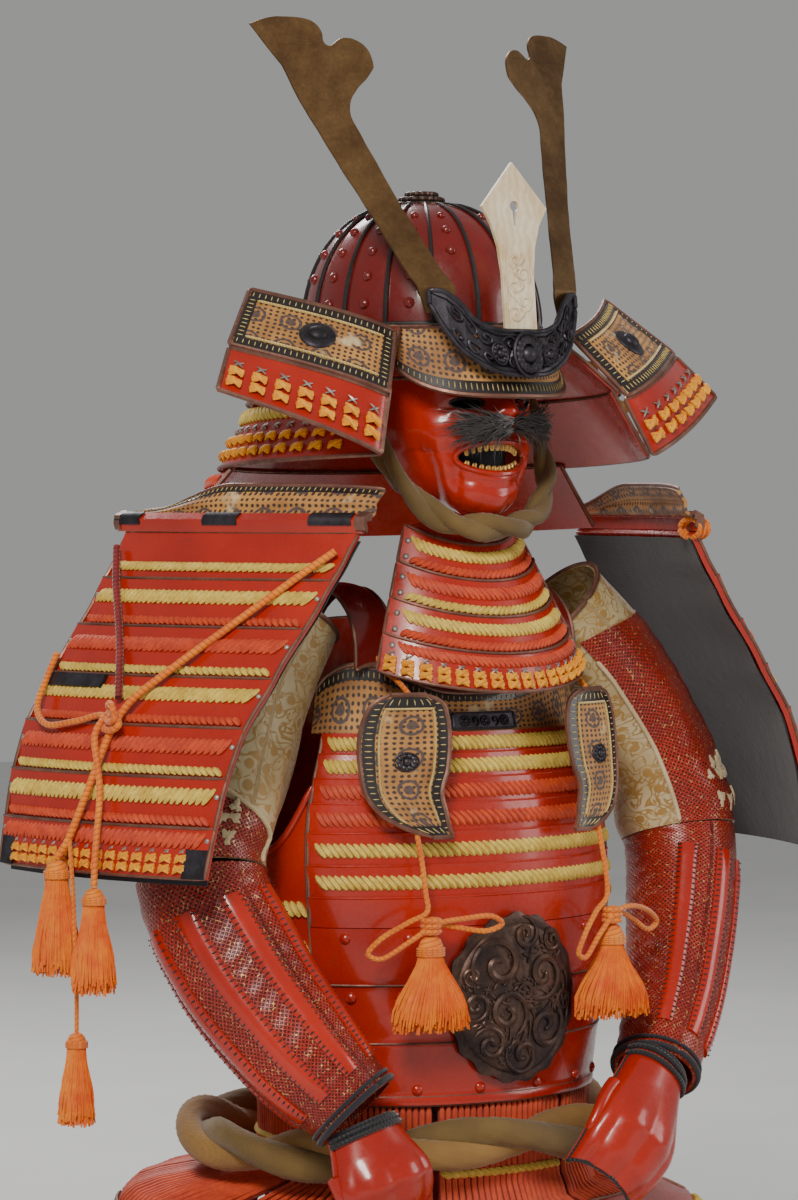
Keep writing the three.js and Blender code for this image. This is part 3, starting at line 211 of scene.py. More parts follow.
def rim_faces(rows, columns, closed=False):
    """The narrow faces that join an outer grid to the inner grid that follows it."""
    edges = [(np.arange(columns), True), (np.arange(columns) + (rows - 1) * columns, False)]
    if not closed:
        edges += [(np.arange(rows) * columns, False), (np.arange(rows) * columns + columns - 1, True)]
    faces = []
    for index, flip in edges:
        ring = np.concatenate([index, index[:1]]) if closed else index
        a, b = ring[:-1], ring[1:]
        quad = np.stack([a, b, b + rows * columns, a + rows * columns], -1)
        faces.append(quad[:, ::-1] if flip else quad)
    return faces


def two_sided(outer, inner, uv, closed=False, material=0):
    """A wall between two grids of points."""
    rows, columns = outer.shape[:2]
    faces = [grid_faces(rows, columns, closed), grid_faces(rows, columns, closed, rows * columns)[:, ::-1]]
    return part(np.stack([outer, inner]), faces + rim_faces(rows, columns, closed), np.stack([uv, uv]),
                material)


def shell(surface, us, vs, height=0.0, thickness=LEATHER, closed=False, material=0):
    """A wall that follows a surface. height is how far its outer face stands out, a number or a function."""
    u, v = np.meshgrid(us, vs)
    raised = height(u, v) if callable(height) else height
    wide, high = surface.size()
    uv = np.stack([u * wide, v * high], -1) * MM
    return two_sided(surface.out(u, v, raised), surface.out(u, v, -thickness), uv, closed, material)


def wall(surface, columns, rows, height=0.0, thickness=LEATHER, **settings):
    """A shell over the whole of a surface."""
    return shell(surface, span(columns), span(rows), height, thickness, **settings)


def capped(many, rows, sides):
    """The faces of many closed tubes of rings, with their first and last ends."""
    each = rows * sides
    starts = (np.arange(many) * each)[:, None]
    body = (grid_faces(rows, sides, True)[None] + starts[:, None]).reshape(-1, 4)
    return [body, starts + np.arange(sides)[::-1], starts + each - sides + np.arange(sides)]


def tubes(paths, radius, sides=6, material=0, squash=1.0, face=None, round_ends=True):
    """Many tubes at once. paths is tubes by points by 3. radius is a number, a row for the points or a full
    array. face gives the direction that a flattened tube is thin in."""
    paths = np.asarray(paths, float)
    if paths.ndim == 2:
        paths = paths[None]
    many, count, _ = paths.shape
    radius = np.broadcast_to(np.asarray(radius, float), (many, count)).copy()
    if round_ends:
        radius[:, 0] *= 0.45
        radius[:, -1] *= 0.45
    tangent = unit(np.gradient(paths, axis=1))
    if face is None:
        guide = np.where(np.abs(tangent[:, 0, 2:]) > 0.9, [1.0, 0.0, 0.0], [0.0, 0.0, 1.0])
        side = np.cross(tangent, guide[:, None])
        side[:, 0] = unit(side[:, 0])
        for k in range(1, count):
            carried = side[:, k - 1]
            off = np.sum(carried * tangent[:, k], axis=-1, keepdims=True)
            side[:, k] = unit(carried - tangent[:, k] * off)
    else:
        side = unit(np.cross(tangent, face))
    up = unit(np.cross(side, tangent))
    around = circle(sides)
    ring = (side[:, :, None] * np.cos(around)[None, None, :, None]
            + up[:, :, None] * np.sin(around)[None, None, :, None] * squash)
    verts = paths[:, :, None] + ring * radius[:, :, None, None]
    along = np.concatenate([np.zeros((many, 1)),
                            np.cumsum(np.linalg.norm(np.diff(paths, axis=1), axis=-1), 1)], 1)
    turned = (np.arange(sides) / sides)[None, None] + (np.arange(many) * 0.618)[:, None, None]
    uv = pairs(turned, along[:, :, None] * MM)
    return part(verts, capped(many, count, sides), uv, material)


def domes(centres, normals, radius, height, sides=10, rings=4, material=0):
    """Round bosses standing on points of a surface."""
    centres, normals = np.atleast_2d(centres), unit(np.atleast_2d(normals))
    guide = np.where(np.abs(normals[:, 2:3]) > 0.9, [1.0, 0.0, 0.0], [0.0, 0.0, 1.0])
    side = unit(np.cross(normals, guide))
    up = np.cross(side, normals)
    rise = span(rings)
    reach = (1 - rise**2) ** 0.5
    reach[-1] = 0.12
    around = circle(sides)
    verts = (centres[:, None, None]
             + normals[:, None, None] * (rise * height)[None, :, None, None]
             + side[:, None, None] * (reach[:, None] * np.cos(around) * radius)[None, :, :, None]
             + up[:, None, None] * (reach[:, None] * np.sin(around) * radius)[None, :, :, None])
    body, low, high = capped(len(centres), rings, sides)
    uv = np.broadcast_to(np.stack([around / 6.28, around * 0], -1)[None, None], (*verts.shape[:3], 2))
    return part(verts, [body, high, low], np.array(uv), material)


def plate(outline, surface_point, thickness, material=0):
    """A flat-sided plate from a closed outline of (a, b) pairs laid out by surface_point(a, b, out)."""
    outline = np.array(outline, float)
    front = surface_point(outline[:, 0], outline[:, 1], thickness)
    back = surface_point(outline[:, 0], outline[:, 1], 0.0)
    count = len(outline)
    a = np.arange(count)
    b = (a + 1) % count
    faces = [a[None], (a + count)[::-1][None], np.stack([a, a + count, b + count, b], -1)]
    return part(np.vstack([front, back]), faces, np.vstack([outline, outline]) * MM, material)


def build(name, parts, materials, replaces=(), flat=False):
    """One object from its parts, scaled to metres, riding on the suit's only body."""
    parts = [p for p in parts if p is not None]
    verts = np.vstack([p["verts"] for p in parts]) * MM
    uv = np.vstack([p["uv"] for p in parts])
    loops, starts, indices = [], [], []
    offset = 0
    place = 0
    for p in parts:
        for faces in p["faces"]:
            faces = np.asarray(faces)
            if len(faces) == 0:
                continue
            n = faces.shape[1]
            loops.append((faces + offset).ravel())
            starts.append(place + np.arange(len(faces)) * n)
            indices.append(np.full(len(faces), p["material"]))
            place += faces.size
        offset += len(p["verts"])
    loops, starts, indices = (np.concatenate(x).astype(np.int32) for x in (loops, starts, indices))
    mesh = bpy.data.meshes.new(name)
    mesh.vertices.add(len(verts))
    mesh.vertices.foreach_set("co", verts.astype(np.float32).ravel())
    mesh.loops.add(len(loops))
    mesh.loops.foreach_set("vertex_index", loops)
    mesh.polygons.add(len(starts))
    mesh.polygons.foreach_set("loop_start", starts)
    mesh.polygons.foreach_set("material_index", indices)
    mesh.polygons.foreach_set("use_smooth", np.full(len(starts), not flat))
    layer = mesh.uv_layers.new(name="UVMap")
    layer.data.foreach_set("uv", uv[loops].astype(np.float32).ravel())
    mesh.update(calc_edges=True)
    mesh.validate()
    face_outwards(mesh)
    for m in materials:
        mesh.materials.append(m)
    piece = bpy.data.objects.new(name, mesh)
    bpy.context.scene.collection.objects.link(piece)
    if not flat:
        sharpen(mesh)
    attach(piece, BODY)
    if replaces:
        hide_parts(*([replaces] if isinstance(replaces, str) else replaces))
    return piece


def look(node, parts, materials):
    """The dressed piece that stands in for one solid."""
    return build(node + "_look", parts, materials, node)


def face_outwards(mesh):
    """Turns the faces of every closed shell outwards."""
    work = bmesh.new()
    work.from_mesh(mesh)
    bmesh.ops.recalc_face_normals(work, faces=work.faces)
    work.to_mesh(mesh)
    work.free()


def sharpen(mesh, degrees=42):
    """Shades smooth except across edges steeper than this."""
    mesh.set_sharp_from_angle(angle=math.radians(degrees))


def add_bevel(piece, width):
    bevel = piece.modifiers.new("Bevel", "BEVEL")
    bevel.width = width * MM
    bevel.segments = 2
    bevel.limit_method = "ANGLE"
    bevel.angle_limit = math.radians(35)


# Materials
class Paint:
    """A node material. Every helper returns a socket to plug in elsewhere."""

    def __init__(self, name, **constants):
        self.material = bpy.data.materials.new(name)
        self.material.use_nodes = True
        self.tree = self.material.node_tree
        self.shader = self.tree.nodes["Principled BSDF"]
        self.set(**constants)

    def set(self, **values):
        for key, value in values.items():
            self.plug(self.shader.inputs[key.replace("_", " ").title().replace("Ior", "IOR")], value)

    def plug(self, socket, value):
        if isinstance(value, bpy.types.NodeSocket):
            self.tree.links.new(value, socket)
        elif isinstance(value, (tuple, list)) and len(value) == 3 and socket.type == "RGBA":
            socket.default_value = (*value, 1.0)
        else:
            socket.default_value = value

    def node(self, kind, inputs=(), **settings):
        made = self.tree.nodes.new(kind)
        for key, value in settings.items():
            setattr(made, key, value)
        for key, value in dict(inputs).items():
            self.plug(made.inputs[key], value)
        return made

    def place(self):
        return self.node("ShaderNodeTexCoord").outputs["Object"]

    def uv(self):
        return self.node("ShaderNodeTexCoord").outputs["UV"]

    def scaled(self, vector, scale, shift=(0, 0, 0)):
        inputs = {"Vector": vector, "Scale": scale, "Location": shift}
        return self.node("ShaderNodeMapping", inputs).outputs[0]

    def noise(self, scale, detail=4.0, rough=0.55, vector=None, distortion=0.0):
        inputs = {"Vector": vector or self.place(), "Scale": scale, "Detail": detail, "Roughness": rough,
                  "Distortion": distortion}
        return self.node("ShaderNodeTexNoise", inputs).outputs["Fac"]

    def cells(self, scale, randomness=1.0, vector=None, feature="F1", flat=False):
        inputs = {"Vector": vector or self.place(), "Scale": scale, "Randomness": randomness}
        settings = {"feature": feature, "voronoi_dimensions": "2D" if flat else "3D"}
        return self.node("ShaderNodeTexVoronoi", inputs, **settings).outputs["Distance"]

    def waves(self, scale, vector=None, direction="X", distortion=0.0, detail_scale=1.0):
        inputs = {"Vector": vector or self.place(), "Scale": scale, "Distortion": distortion, "Detail": 2.0,
                  "Detail Scale": detail_scale}
        return self.node("ShaderNodeTexWave", inputs, bands_direction=direction).outputs["Fac"]

    def ramp(self, value, stops, kind="LINEAR"):
        made = self.node("ShaderNodeValToRGB", {"Fac": value})
        made.color_ramp.interpolation = kind
        while len(made.color_ramp.elements) < len(stops):
            made.color_ramp.elements.new(0.5)
        for element, (at, colour) in zip(made.color_ramp.elements, stops):
            element.position = at
            element.color = (*colour, 1.0) if isinstance(colour, tuple) else (colour, colour, colour, 1.0)
        return made.outputs["Color"]

    def blend(self, factor, a, b):
        made = self.node("ShaderNodeMix", data_type="RGBA")
        for socket, value in zip((made.inputs[0], made.inputs[6], made.inputs[7]), (factor, a, b)):
            self.plug(socket, value)
        return made.outputs[2]

    def math(self, operation, a, b=0.0, c=None):
        made = self.node("ShaderNodeMath", operation=operation)
        for socket, value in zip(made.inputs, (a, b) if c is None else (a, b, c)):
            self.plug(socket, value)
        return made.outputs[0]

    def spread(self, value, low, high, start=0.3, end=0.7):
        inputs = {"Value": value, "From Min": start, "From Max": end, "To Min": low, "To Max": high}
        return self.node("ShaderNodeMapRange", inputs).outputs[0]

    def relief(self, height, strength=0.4, distance=0.4, below=None):
        inputs = {"Height": height, "Strength": strength, "Distance": distance * MM}
        if below is not None:
            inputs["Normal"] = below
        normal = self.node("ShaderNodeBump", inputs).outputs[0]
        self.plug(self.shader.inputs["Normal"], normal)
        return normal


def lacquer(name, bright, dark, rough=0.2):
    """Glossy lacquer: two close tones, faint brush waves and fine wear in its gloss."""
    p = Paint(name, coat_weight=0.35, coat_roughness=0.07, specular_ior_level=0.45)
    tone = p.noise(9, 5)
    worn = p.noise(130, 6, 0.7)
    colour = p.blend(p.spread(tone, 0, 1), bright, dark)
    scuffed = tuple(c * 0.45 + 0.02 for c in dark)
    colour = p.blend(p.spread(worn, 0, 0.55, 0.6, 0.72), colour, scuffed)
    p.set(base_color=colour, roughness=p.spread(worn, rough, rough + 0.2))
    p.relief(p.noise(34, 3), 0.25, 0.5)
    return p.material


def metal(name, bright, dark, rough=0.42, scale=22, metallic=0.9, pits=0.35):
    p = Paint(name, metallic=metallic)
    patches = p.noise(scale, 7, 0.65)
    grain = p.noise(240, 4, 0.7)
    colour = p.blend(p.spread(patches, 0, 1, 0.35, 0.62), bright, dark)
    colour = p.blend(p.spread(grain, 0, 0.4), colour, tuple(c * 0.5 for c in dark))
    p.set(base_color=colour, roughness=p.spread(patches, rough, rough + 0.22))
    p.relief(grain, pits, 0.3)
    return p.material


def silk(name, bright, dark, pitch=0.0035, sheen=0.35):
    """Braided silk cord: strands that wind round the cord, read from its texture coordinates, and painted
    shade in the grooves between them.
    """
    p = Paint(name, roughness=0.62, sheen_weight=sheen, sheen_roughness=0.4)
    uv = p.node("ShaderNodeSeparateXYZ", {"Vector": p.uv()})
    turn = p.math("MULTIPLY_ADD", uv.outputs["Y"], 1 / pitch, uv.outputs["X"])
    strand = p.math("PINGPONG", turn, 0.5)
    tone = p.noise(45, 3)
    colour = p.blend(p.spread(tone, 0, 1), bright, dark)
    # painted shade: the colour darkens in the grooves between the strands, where the relief is lowest
    groove_shade = tuple(c * 0.5 for c in dark)
    p.set(base_color=p.blend(p.spread(strand, 0.75, 0, 0.0, 0.22), colour, groove_shade))
    p.relief(strand, 0.9, 1.2)
    return p.material


def threads(name, bright, dark, rough=0.6, strands=5.0):
    """Flat silk lace or loose strands: fine threads that run along the cord, with painted shade between them.
    """
    p = Paint(name, roughness=rough, sheen_weight=0.12, sheen_roughness=0.4)
    uv = p.scaled(p.uv(), (strands, 60.0, 1.0))
    fibre = p.noise(3.0, 4, 0.7, vector=uv)
    tone = p.noise(60, 3)
    colour = p.blend(p.spread(tone, 0, 1), bright, dark)
    # painted shade: the colour darkens where the fibres sink, in the grooves between threads
    p.set(base_color=p.blend(p.spread(fibre, 0.75, 0, 0.32, 0.52), colour, tuple(c * 0.45 for c in dark)))
    p.relief(fibre, 0.7, 0.6)
    return p.material


def weave(name, bright, dark, scale=900, sheen=0.2, folds=14, rough=0.85):
    """Plain woven cloth with soft changes of tone and painted shade between its threads."""
    p = Paint(name, roughness=rough, sheen_weight=sheen, sheen_roughness=0.5)
    across = p.waves(scale / 6.28, direction="X")
    down = p.waves(scale / 6.28, direction="Z")
    thread = p.math("MULTIPLY", across, down)
    tone = p.noise(folds, 5)
    colour = p.blend(p.spread(tone, 0, 1), bright, dark)
    # painted shade in the gaps between the woven threads, where the thread relief is low
    p.set(base_color=p.blend(p.spread(thread, 0.25, 0, 0.1, 0.9), colour, tuple(c * 0.5 for c in dark)))
    p.relief(thread, 0.35, 0.3, p.relief(p.noise(60, 4), 0.5, 1.5))
    return p.material


def printed_leather(name):
    """Smoked leather printed with a small traditional repeat of dots and rings, and rubbed in patches."""
    p = Paint(name, roughness=0.6, sheen_weight=0.1)
    uv = p.uv()
    warped = p.node("ShaderNodeMix", {}, data_type="VECTOR")
    wobble = p.node("ShaderNodeTexNoise", {"Vector": uv, "Scale": 60.0, "Detail": 2.0}).outputs["Color"]
    warped.inputs[0].default_value = 0.0025
    p.plug(warped.inputs[4], uv)
    p.plug(warped.inputs[5], wobble)
    place = warped.outputs[1]
    dots = p.cells(1 / 0.0058, 0.15, place, flat=True)
    rings = p.cells(1 / 0.034, 0.0, place, flat=True)
    tone = p.noise(20, 6)
    tan = p.blend(p.spread(tone, 0, 1, 0.35, 0.65), (0.60, 0.29, 0.075), (0.31, 0.125, 0.032))
    dotted = p.blend(p.ramp(dots, [(0.0, 1.0), (0.24, 1.0), (0.34, 0.0)]), tan, (0.045, 0.026, 0.018))
    ring_stops = [(0.0, 0.9), (0.13, 0.9), (0.16, 0.0), (0.22, 0.0), (0.24, 0.95), (0.3, 0.95), (0.33, 0.0)]
    ringed = p.blend(p.ramp(rings, ring_stops), dotted, (0.075, 0.05, 0.05))
    pale = p.blend(p.spread(p.noise(26, 3), 0, 0.8, 0.62, 0.7), ringed, (0.72, 0.55, 0.3))
    p.set(base_color=pale)
    p.relief(p.cells(1400), 0.2, 0.2, p.relief(p.noise(70, 4), 0.4, 0.6))
    return p.material


def brocade(name):
    """Cream silk with a woven gold figure of scrolling leaves and a soft nap."""
    p = Paint(name, roughness=0.5, sheen_weight=0.3, sheen_roughness=0.35)
    uv = p.uv()
    figure = p.noise(38, 1.5, 0.4, vector=uv, distortion=2.4)
    petals = p.cells(42, 0.6, uv, "SMOOTH_F1", flat=True)
    lines = p.ramp(figure, [(0.0, 0.0), (0.44, 0.0), (0.47, 1.0), (0.52, 1.0), (0.55, 0.0)])
    flower = p.ramp(petals, [(0.0, 1.0), (0.18, 1.0), (0.22, 0.0), (0.3, 0.0), (0.33, 0.8), (0.38, 0.0)])
    ground = p.blend(p.spread(p.noise(16, 4), 0, 1), (0.66, 0.55, 0.33), (0.42, 0.30, 0.13))
    gold = p.blend(p.math("MAXIMUM", lines, flower), ground, (0.40, 0.23, 0.06))
    twill = p.waves(420, uv, "DIAGONAL")
    # painted shade in the low lines of the twill
    p.set(base_color=p.blend(p.spread(twill, 0.16, 0), gold, (0.2, 0.13, 0.05)))
    p.relief(twill, 0.25, 0.2, p.relief(p.math("MAXIMUM", lines, flower), 0.5, 0.5))
    return p.material


def mail(name, ring=0.0048):
    """Small linked rings of red lacquered wire over dark cloth, with painted gold glints in small spots."""
    p = Paint(name, roughness=0.35, specular_ior_level=0.6)
    uv = p.uv()
    first = p.cells(1 / ring, 0.12, uv, flat=True)
    shifted = p.scaled(uv, (1, 1, 1), shift=(ring / 2, ring / 2, 0))
    second = p.cells(1 / ring, 0.12, shifted, flat=True)
    profile = [(0.0, 0.0), (0.2, 0.0), (0.36, 1.0), (0.5, 1.0), (0.62, 0.0)]
    wire = p.math("MAXIMUM", p.ramp(first, profile), p.ramp(second, profile))
    # painted glints: small gold spots, also made more metallic, on the red wire
    glint_spots = p.noise(330, 2)
    red = p.blend(p.spread(p.noise(14, 4), 0, 1), (0.44, 0.026, 0.010), (0.26, 0.012, 0.007))
    painted_glint = p.blend(p.spread(glint_spots, 0, 1, 0.6, 0.66), red, (0.70, 0.36, 0.14))
    p.set(base_color=p.blend(wire, (0.06, 0.008, 0.006), painted_glint), metallic=p.spread(glint_spots, 0, 0.5, 0.6, 0.66))
    p.relief(wire, 1.0, 1.4)
    return p.material


def hair(name):
    p = Paint(name, roughness=0.38, sheen_weight=0.1, specular_ior_level=0.6)
    p.set(base_color=p.blend(p.spread(p.noise(80, 3), 0, 1), (0.012, 0.010, 0.010), (0.05, 0.04, 0.035)))
    return p.material


def carved_ivory(name):
    p = Paint(name, roughness=0.42, subsurface_weight=0.05)
    tone = p.noise(30, 6)
    grain = p.waves(35, direction="X", distortion=6, detail_scale=2)
    colour = p.blend(p.spread(tone, 0, 1), (0.86, 0.76, 0.55), (0.62, 0.42, 0.2))
    p.set(base_color=p.blend(p.spread(grain, 0, 0.25), colour, (0.5, 0.3, 0.12)))
    p.relief(p.noise(150, 5), 0.3, 0.3)
    return p.material


RED = lacquer("red_lacquer", (0.50, 0.022, 0.006), (0.34, 0.013, 0.005), 0.17)
DEEP_RED = lacquer("deep_red_lacquer", (0.20, 0.009, 0.006), (0.10, 0.005, 0.004), 0.2)
BLACK_LACQUER = lacquer("black_lacquer", (0.02, 0.014, 0.014), (0.012, 0.01, 0.01), 0.3)
LIP_RED = lacquer("dark_lip_lacquer", (0.12, 0.01, 0.008), (0.07, 0.008, 0.008), 0.25)
TRIM = metal("bronze_trim", (0.30, 0.145, 0.10), (0.17, 0.075, 0.055), 0.34, 40, 0.55)
BRONZE = metal("aged_bronze", (0.26, 0.150, 0.062), (0.115, 0.062, 0.028), 0.42, 18)
MEDAL = metal("dark_bronze", (0.15, 0.085, 0.06), (0.05, 0.035, 0.035), 0.36, 30, 0.85)
IRON = metal("dark_iron", (0.085, 0.078, 0.095), (0.035, 0.03, 0.035), 0.38, 50, 0.8)
SILVER = metal("dull_silver", (0.62, 0.57, 0.5), (0.3, 0.26, 0.24), 0.35, 200, 0.7)
GOLD = metal("dull_gold", (0.75, 0.45, 0.14), (0.5, 0.26, 0.07), 0.3, 60)
YELLOW = threads("yellow_silk", (0.88, 0.66, 0.13), (0.64, 0.42, 0.055))
CORAL = threads("coral_silk", (0.74, 0.085, 0.018), (0.54, 0.045, 0.012))
AMBER = threads("amber_silk", (0.98, 0.46, 0.012), (0.85, 0.29, 0.006))
TASSEL_SILK = threads("tassel_silk", (0.95, 0.26, 0.004), (0.80, 0.11, 0.003))
ORANGE = silk("orange_silk", (0.93, 0.27, 0.006), (0.76, 0.14, 0.004), 0.005)
DARK_RED_SILK = silk("dark_red_silk", (0.30, 0.016, 0.012), (0.16, 0.008, 0.008), 0.005)
CREAM = silk("cream_silk", (0.84, 0.64, 0.24), (0.60, 0.40, 0.12), 0.003)
BLACK_SILK = silk("black_silk", (0.016, 0.014, 0.018), (0.008, 0.008, 0.01), 0.004)
LEATHER_PRINT = printed_leather("printed_leather")
BROCADE = brocade("cream_brocade")
MAIL = mail("lacquered_mail")
SASH_CLOTH = weave("olive_cloth", (0.215, 0.130, 0.034), (0.100, 0.058, 0.015))
OCHRE_CLOTH = weave("ochre_cloth", (0.34, 0.18, 0.042), (0.20, 0.10, 0.024))
BLACK_CLOTH = weave("black_cloth", (0.022, 0.020, 0.028), (0.012, 0.011, 0.016), 700)
CREAM_CLOTH = weave("worn_cream_cloth", (0.74, 0.62, 0.38), (0.55, 0.40, 0.2), 600)
HAIR = hair("black_hair")
IVORY = carved_ivory("carved_ivory")


# Trim, lacing and knots that lie on a surface
def studs(surface, u, v, height, *sizes):
    """Domes that stand on points of a surface."""
    return domes(surface.out(u, v, height), surface.normal(u, v), *sizes)


def along_surface(surface, us, vs, height, count):
    """A path of points on a surface through stations given in shares of its width and height."""
    place = span(count)
    keys = np.linspace(0, 1, len(us))
    u, v = np.interp(place, keys, us), np.interp(place, keys, vs)
    return surface.out(u, v, height)


def bead(surface, us, vs, height, count, radius, sides=6, material=0):
    """A tube through stations on a surface."""
    return tubes(along_surface(surface, us, vs, height, count), radius, sides, material)


def border(surface, height, radius, inset=0.0, count=40, material=1):
    """A bead of trim round all four edges of a surface."""
    a, b = inset, 1 - inset
    runs = [((a, b), (a, a)), ((b, b), (a, b)), ((b, a), (b, b)), ((a, a), (b, a))]
    counts = (count, count // 2 + 2, count, count // 2 + 2)
    return [bead(surface, us, vs, height, n, radius, 6, material) for (us, vs), n in zip(runs, counts)]


def lacing(surface, v_middle, band, pitch=7.6, lean=1.05, radius=None, low=0.02, high=0.98, material=0,
           height=0.0):
    """One row of lacing: short thick cords that lie side by side and lean over, band millimetres high.
    v_middle is the row's share of the surface's height, lean the sideways shift in cord pitches."""
    wide, tall = surface.size()
    count = max(3, int(round(wide * (high - low) / pitch)))
    step = (high - low) / count
    start = low + step * (np.arange(count) + 0.5)
    radius = radius or pitch * 0.5
    rise = np.linspace(-1, 1, 5)
    u = start[:, None] + rise[None] * step * lean
    v = v_middle + rise[None] * (band / 2 - radius * 0.5) / tall + 0 * u
    arch = height + radius * 0.5 * np.sqrt(1 - (rise * 0.92) ** 2)
    jitter = rng.normal(0, 0.25, (count, 1))
    paths = surface.out(u, v, arch[None] + jitter)
    return tubes(paths, radius * (0.86 + 0.14 * np.sqrt(1 - (0.9 * rise) ** 2)), 5, material)


def tilted_lame(lame, lift, fall, columns, rows, thickness, trims, side_height, side_count):
    """A lame that stands out by lift at its top and less below, with trim on its long edges and its sides."""
    made = [wall(lame, columns, rows, lambda u, v: lift * (1 - fall * v), thickness)]
    for v in (0.0, 1.0):
        made.append(bead(lame, (0, 1), (v, v), lift * (1 - fall * v), columns, trims[0], 6, 1))
    for u in (0.0, 1.0):
        made.append(bead(lame, (u, u), (0, 1), side_height, side_count, trims[1], 6, 1))
    return made


def row_ends(surface, v, inset, height, radius=3.0, material=5):
    """A small dull silver stud at each end of a row of lacing."""
    u, v = np.array([inset, 1 - inset]), np.array([v, v])
    return studs(surface, u, v, height, radius, 1.8, 12, 4, material)


def knots(surface, v, count, width=11.0, tall_mm=9.0, radius=2.5, low=0.05, high=0.95, material=0, height=0.0,
          plain=False):
    """A row of crossed knots. Each has two thick crossing cords and, unless plain, a short bar over them."""
    wide, tall = surface.size()
    u0 = np.linspace(low, high, count)
    half_u, half_v = width / 2 / wide, tall_mm / 2 / tall
    t = np.linspace(-1, 1, 4)
    arch = height + radius * (0.35 + 0.75 * (1 - t**2))
    made = []
    for sign, extra in ((1, 0.0), (-1, radius * 0.55)):
        u = u0[:, None] + t[None] * half_u
        vv = v + sign * t[None] * half_v + 0 * u
        made.append(tubes(surface.out(u, vv, arch[None] + extra + 0 * u), radius, 5, material))
    if not plain:
        for shift in (-0.8, 0.8):
            u = u0[:, None] + shift * half_u + 0 * t[None]
            vv = v + t[None] * half_v * 0.75 + 0 * u
            made.append(tubes(surface.out(u, vv, arch[None] * 0.8 + 0 * u), radius * 0.95, 5, material))
    return made


def knotted_foot(surface, at, count, low=0.05, high=0.95, amber=0, silver=1, height=0.0, scale=1.0):
    """Silver cross knots over two rows of amber ones, as at the foot of a set of lames."""
    v_silver, v_first, v_second = at
    made = knots(surface, v_silver, count, 8.0 * scale, 5.5 * scale, 1.15, low, high, silver, height,
                 plain=True)
    for v in (v_first, v_second):
        made += knots(surface, v, count, 11.5 * scale, 8.0 * scale, 2.5 * scale, low, high, amber, height)
    return made


def part_of(surface, u0, u1, v0, v1):
    """The same surface between two shares of its width and height."""
    return Surface(lambda u, v: surface.at(mix(u0, u1, u), mix(v0, v1, v)), surface.away)


# Helmet bowl
BOWL = {"half_width": 106, "half_length": 122, "rim": 218, "height": 120, "centre_y": 6, "plates": 16}


def bowl_at(u, v):
    lift = np.radians(mix(0, 85, v))
    spread = np.maximum(np.cos(lift), 0) ** 0.8
    turn = 2 * math.pi * u
    return points(BOWL["half_width"] * spread * np.sin(turn),
                  BOWL["centre_y"] - BOWL["half_length"] * spread * np.cos(turn),
                  BOWL["rim"] + BOWL["height"] * np.sin(lift))


bowl_surface = Surface(bowl_at, lambda p: p - np.array([0, BOWL["centre_y"], BOWL["rim"] - 30]))


def helmet_bowl():
    plates = BOWL["plates"]

    def plate_swell(u, v):
        across = np.abs(((u * plates + 0.5) % 1) - 0.5) * 2
        return 1.6 * (1 - across**4) * (1 - v)

    skin = shell(bowl_surface, round_shares(plates * 8), span(24), plate_swell, closed=True)
    seams = (np.arange(plates) + 0.5) / plates
    v = np.linspace(0.0, 0.93, 18)
    ribs = bowl_surface.out(seams[:, None], v[None], 1.6)
    made = [skin, tubes(ribs, np.linspace(2.6, 1.4, 18)[None], 8, 1)]
    centre_u = np.arange(1, plates) / plates
    for v_row, radius in ((0.12, 5.6), (0.27, 5.4), (0.42, 5.0), (0.57, 4.6), (0.71, 3.8)):
        u = centre_u[2:-1] if v_row < 0.3 else centre_u
        v = np.full(len(u), v_row)
        made.append(studs(bowl_surface, u, v, 0.8, radius, radius * 0.85))
    rim = bowl_surface.out(span(90), 0.012, 1.2)
    made.append(tubes(rim, 2.4, 8, 1))
    crown = BOWL["rim"] + BOWL["height"]
    for radius, z, thick, material in ((24, -2.5, 3.4, 2), (18.5, 3.0, 3.2, 2), (13, 8.0, 3.0, 2)):
        petals = full_circle(97)
        wavy = radius * (1 + 0.06 * np.cos(petals * 12))
        ring = points(wavy * np.sin(petals), BOWL["centre_y"] - wavy * np.cos(petals), crown + z)
        made.append(tubes(ring, thick, 8, material))
    look("helmet_bowl", made, [DEEP_RED, BLACK_LACQUER, MEDAL])


# Visor
VISOR_HALF = 56


def visor_at(u, v):
    angle = mix(-VISOR_HALF, VISOR_HALF, u)
    down = v * mix(1, 0.4, (np.abs(angle) / VISOR_HALF) ** 4)
    a = mix(107.5, 128, down)
    b = mix(123.5, 158, down * (1.2 - 0.2 * down))
    turn = np.radians(angle)
    return points(a * np.sin(turn), 6 - b * np.cos(turn), mix(217.4, 153, down))


visor_surface = Surface(visor_at)


def visor():
    made = [wall(visor_surface, 60, 16)] + border(visor_surface, 0.2, 2.4, 0.0, 70, 1)
    rim = part_of(visor_surface, 0.02, 0.98, 0.80, 0.97)
    made += leather_edge(rim, black=2, cream=3)
    look("visor", made, [LEATHER_PRINT, TRIM, BLACK_LACQUER, CREAM])


def leather_edge(strip, black, cream, pitch=5.5):
    """A dark band with pale stitches laid across it, on a strip of surface."""
    wide, tall = strip.size()
    longways = wide >= tall
    made = [wall(strip, 40 if longways else 4, 4 if longways else 40, 0.7, 0.2, material=black)]
    count = max(4, int(max(wide, tall) / pitch))
    along = (np.arange(count) + 0.5) / count
    across = np.linspace(0.2, 0.8, 4)
    a, c = along[:, None] + 0 * across[None], across[None] + 0 * along[:, None]
    u, v = (a, c) if longways else (c, a)
    made.append(tubes(strip.out(u, v, 1.0 + 0 * u), 0.55, 5, cream))
    return made


# Neck guard
NECK_TILT = 0.052
NECK = [
    {"node": "neck_lame_1", "top": (112.3, 128.8, 6, 217.4), "bottom": (176, 176, -14, 152), "half": 131},
    {"node": "neck_lame_2", "top": (169.6, 169.6, -14, 153.6), "bottom": (203, 203, -14, 92), "half": 131},
    {"node": "neck_lame_3", "top": (196.8, 196.8, -14, 93.2), "bottom": (250, 250, -14, 34), "half": 524 / 7},
]


